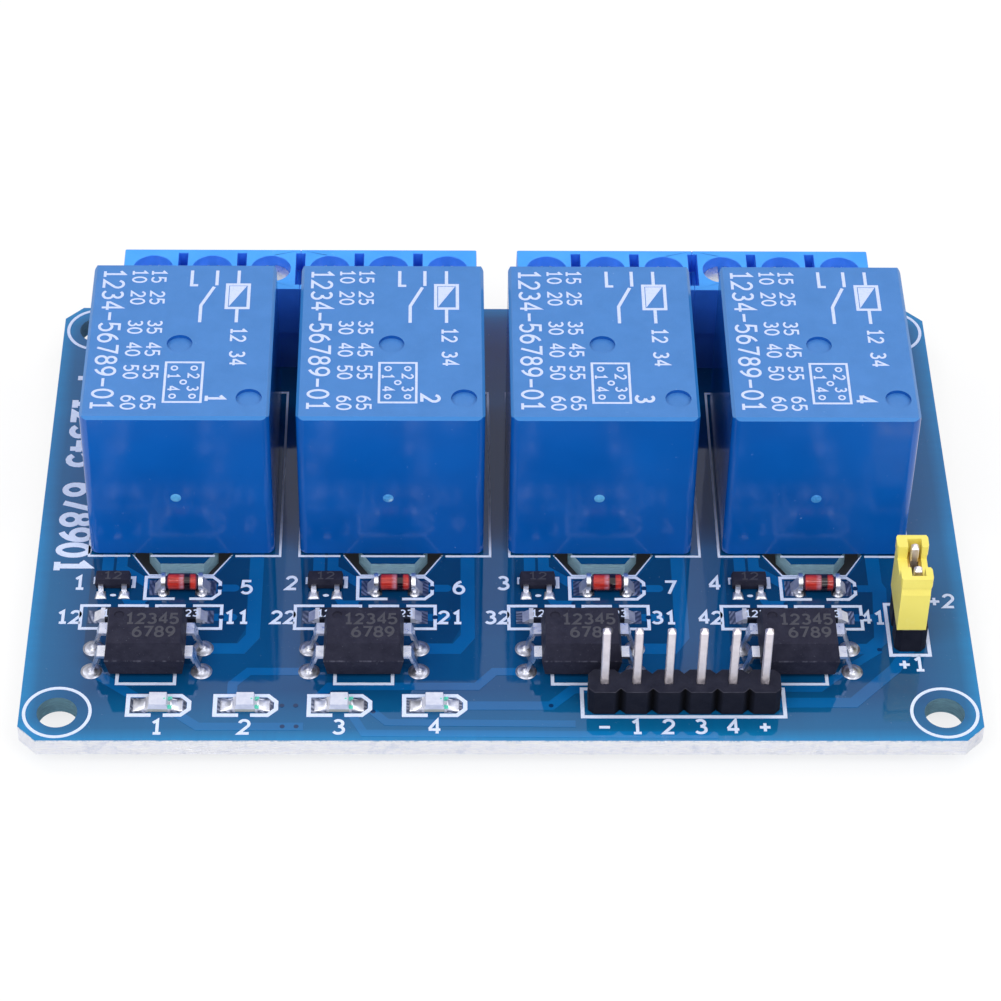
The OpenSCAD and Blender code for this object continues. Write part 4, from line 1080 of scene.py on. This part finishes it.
def make_faint_marks():
    """Plain numerals on the optocouplers, transistors and resistors."""
    plot = Plot()
    for part in OPTOS:
        x, y = part.mid.xy
        level = (part.high.z - 0.004, part.high.z + 0.006)
        plot.text("12345", x + 0.55, y + 0.75, 1.05, *level, line=0.2)
        plot.text("6789", x + 0.75, y - 0.70, 1.05, *level, line=0.2)
    for part in TRANSISTORS:
        level = (part.high.z - 0.004, part.high.z + 0.006)
        plot.text("12", *part.mid.xy, 0.75, *level, line=0.13, stretch=1.3)
    plot.piece("faint_marks", "faint_ink", slot="black_plastic")
    plot = Plot()
    for part in RESISTORS:
        plot.text("123", *part.mid.xy, 0.7, part.high.z - 0.004, part.high.z + 0.008, line=0.13)
    plot.piece("resistor_marks", "silk_ink", slot="resistor_body")


# ---- Camera, light and floor

CAMERA_AIM = (0.24, 2.95, 0.0)
CAMERA_DISTANCE = 295.75
CAMERA_AZIMUTH = 1.495
CAMERA_ELEVATION = 43.65
CAMERA_ROLL = 1.13
CAMERA_LENS = 125.12
CAMERA_SENSOR = 36.0
# Each lamp's place and size in metres, and its power in watts
LAMPS = {
    "key_left": ((-0.32, -0.36, 0.56), (0.4, 0.4), 2.1),
    "key_right": ((0.32, -0.36, 0.56), (0.4, 0.4), 2.1),
    "rim_left": ((-0.36, 0.28, 0.54), (0.34, 0.34), 0.8),
    "rim_right": ((0.36, 0.28, 0.54), (0.34, 0.34), 0.8),
    "low_fill": ((-0.1, -0.62, 0.16), (0.5, 0.2), 0.65),
}
SKY = 0.38
# The floor, in metres; how much of its white it gives itself, beside the board and below it
FLOOR_REACH = 2.0
FLOOR_GLOW = 0.78
SHADE_GLOW = 0.012
# Where the shade below the board ends, and where the floor turns fully white far away, in millimetres
SHADE_X = (33.5, 38.0)
SHADE_Y = (15.5, 20.5)
SHADE_MIDDLE_Y = 3.0
FAR = (150.0, 900.0)


def make_camera():
    azimuth, elevation, roll = (math.radians(v) for v in (CAMERA_AZIMUTH, CAMERA_ELEVATION, CAMERA_ROLL))
    tilt = Matrix.Rotation(math.pi / 2 - elevation, 4, "X")
    turn = Matrix.Rotation(-azimuth, 4, "Z") @ tilt @ Matrix.Rotation(roll, 4, "Z")
    data = bpy.data.cameras.new("camera")
    data.lens = CAMERA_LENS
    data.sensor_width = CAMERA_SENSOR
    data.clip_start = 0.01
    data.clip_end = 10
    camera = add("camera", data)
    away = Matrix.Translation((0, 0, mm(CAMERA_DISTANCE)))
    camera.matrix_world = Matrix.Translation(mm(*CAMERA_AIM)) @ turn @ away
    bpy.context.scene.camera = camera


def area_light(name, place, size, power):
    """A soft lamp that looks at the middle of the board."""
    data = bpy.data.lights.new(name, "AREA")
    data.shape = "RECTANGLE"
    data.size, data.size_y = size
    data.energy = power
    item = add(name, data)
    item.location = place
    item.rotation_euler = (-Vector(place)).to_track_quat("-Z", "Y").to_euler()


def make_light():
    """The lamps and an even sky, which the camera and mirrors see as white."""
    for name, (place, size, power) in LAMPS.items():
        area_light(name, place, size, power)
    world = bpy.data.worlds.new("world")
    bpy.context.scene.world = world
    world.use_nodes = True
    nodes = Nodes(world.node_tree)
    level = nodes.spread(nodes.looked_at(), 0.0, 1.0, SKY, 1.0)
    nodes.fill(world.node_tree.nodes["Background"], {"Color": (1.0, 1.0, 1.0), "Strength": level})


def make_floor():
    """Pale floor. The camera sees it as white paper with the object's soft shadow; under the board it is painted
    dark as a painted shadow.
    """
    mesh = bpy.data.meshes.new("floor")
    corners = [(*point, CAD_BOX[0].z) for point in rectangle(0, 0, FLOOR_REACH, FLOOR_REACH)]
    mesh.from_pydata(corners, [], [(0, 1, 2, 3)])
    white = Shader("floor_white", Roughness=0.9, Specular_IOR_Level=0.0, Emission_Color=(1.0, 1.0, 1.0))
    looked_at = white.looked_at()
    x = white.size(white.along(0))
    y = white.size(white.minus(white.along(1), SHADE_MIDDLE_Y))
    beside = white.math("MAXIMUM", white.spread(x, *SHADE_X), white.spread(y, *SHADE_Y))
    away = white.spread(white.math("MAXIMUM", x, y), *FAR, FLOOR_GLOW, 1.0)
    # Painted shadow: below the board the floor gives itself almost no white and takes a dark blue-grey colour
    level = white.math("MAXIMUM", white.times(beside, away), SHADE_GLOW)
    glow = white.times(looked_at, level)
    seen = white.mix(beside, (0.10, 0.13, 0.19), (1.0 - FLOOR_GLOW,) * 3)
    tone = white.mix(looked_at, (0.86, 0.86, 0.87), seen)
    mesh.materials.append(white.finish(Base_Color=tone, Emission_Strength=glow))
    add("floor", mesh)


HOUSINGS = [name for name in NODES if name.startswith("terminal_housing")]
# Nodes by the width of their rounded edges, in millimetres
SOFT_EDGES = {
    0.07: ("jumper_cap", "input_header_base", "jumper_header_base"),
    0.08: ("optocouplers", "transistors"),
    0.10: ("input_header_pins", "jumper_header_pins", *HOUSINGS),
}

bpy.context.scene.view_settings.view_transform = "Standard"
make_camera()
make_light()
make_floor()
dress_cad_nodes()
for width, nodes in SOFT_EDGES.items():
    for node in nodes:
        soften(node, width)
make_copper()
make_board_print()
make_pads()
make_lamp_marks()
make_relay_print()
make_gate_marks()
make_faint_marks()
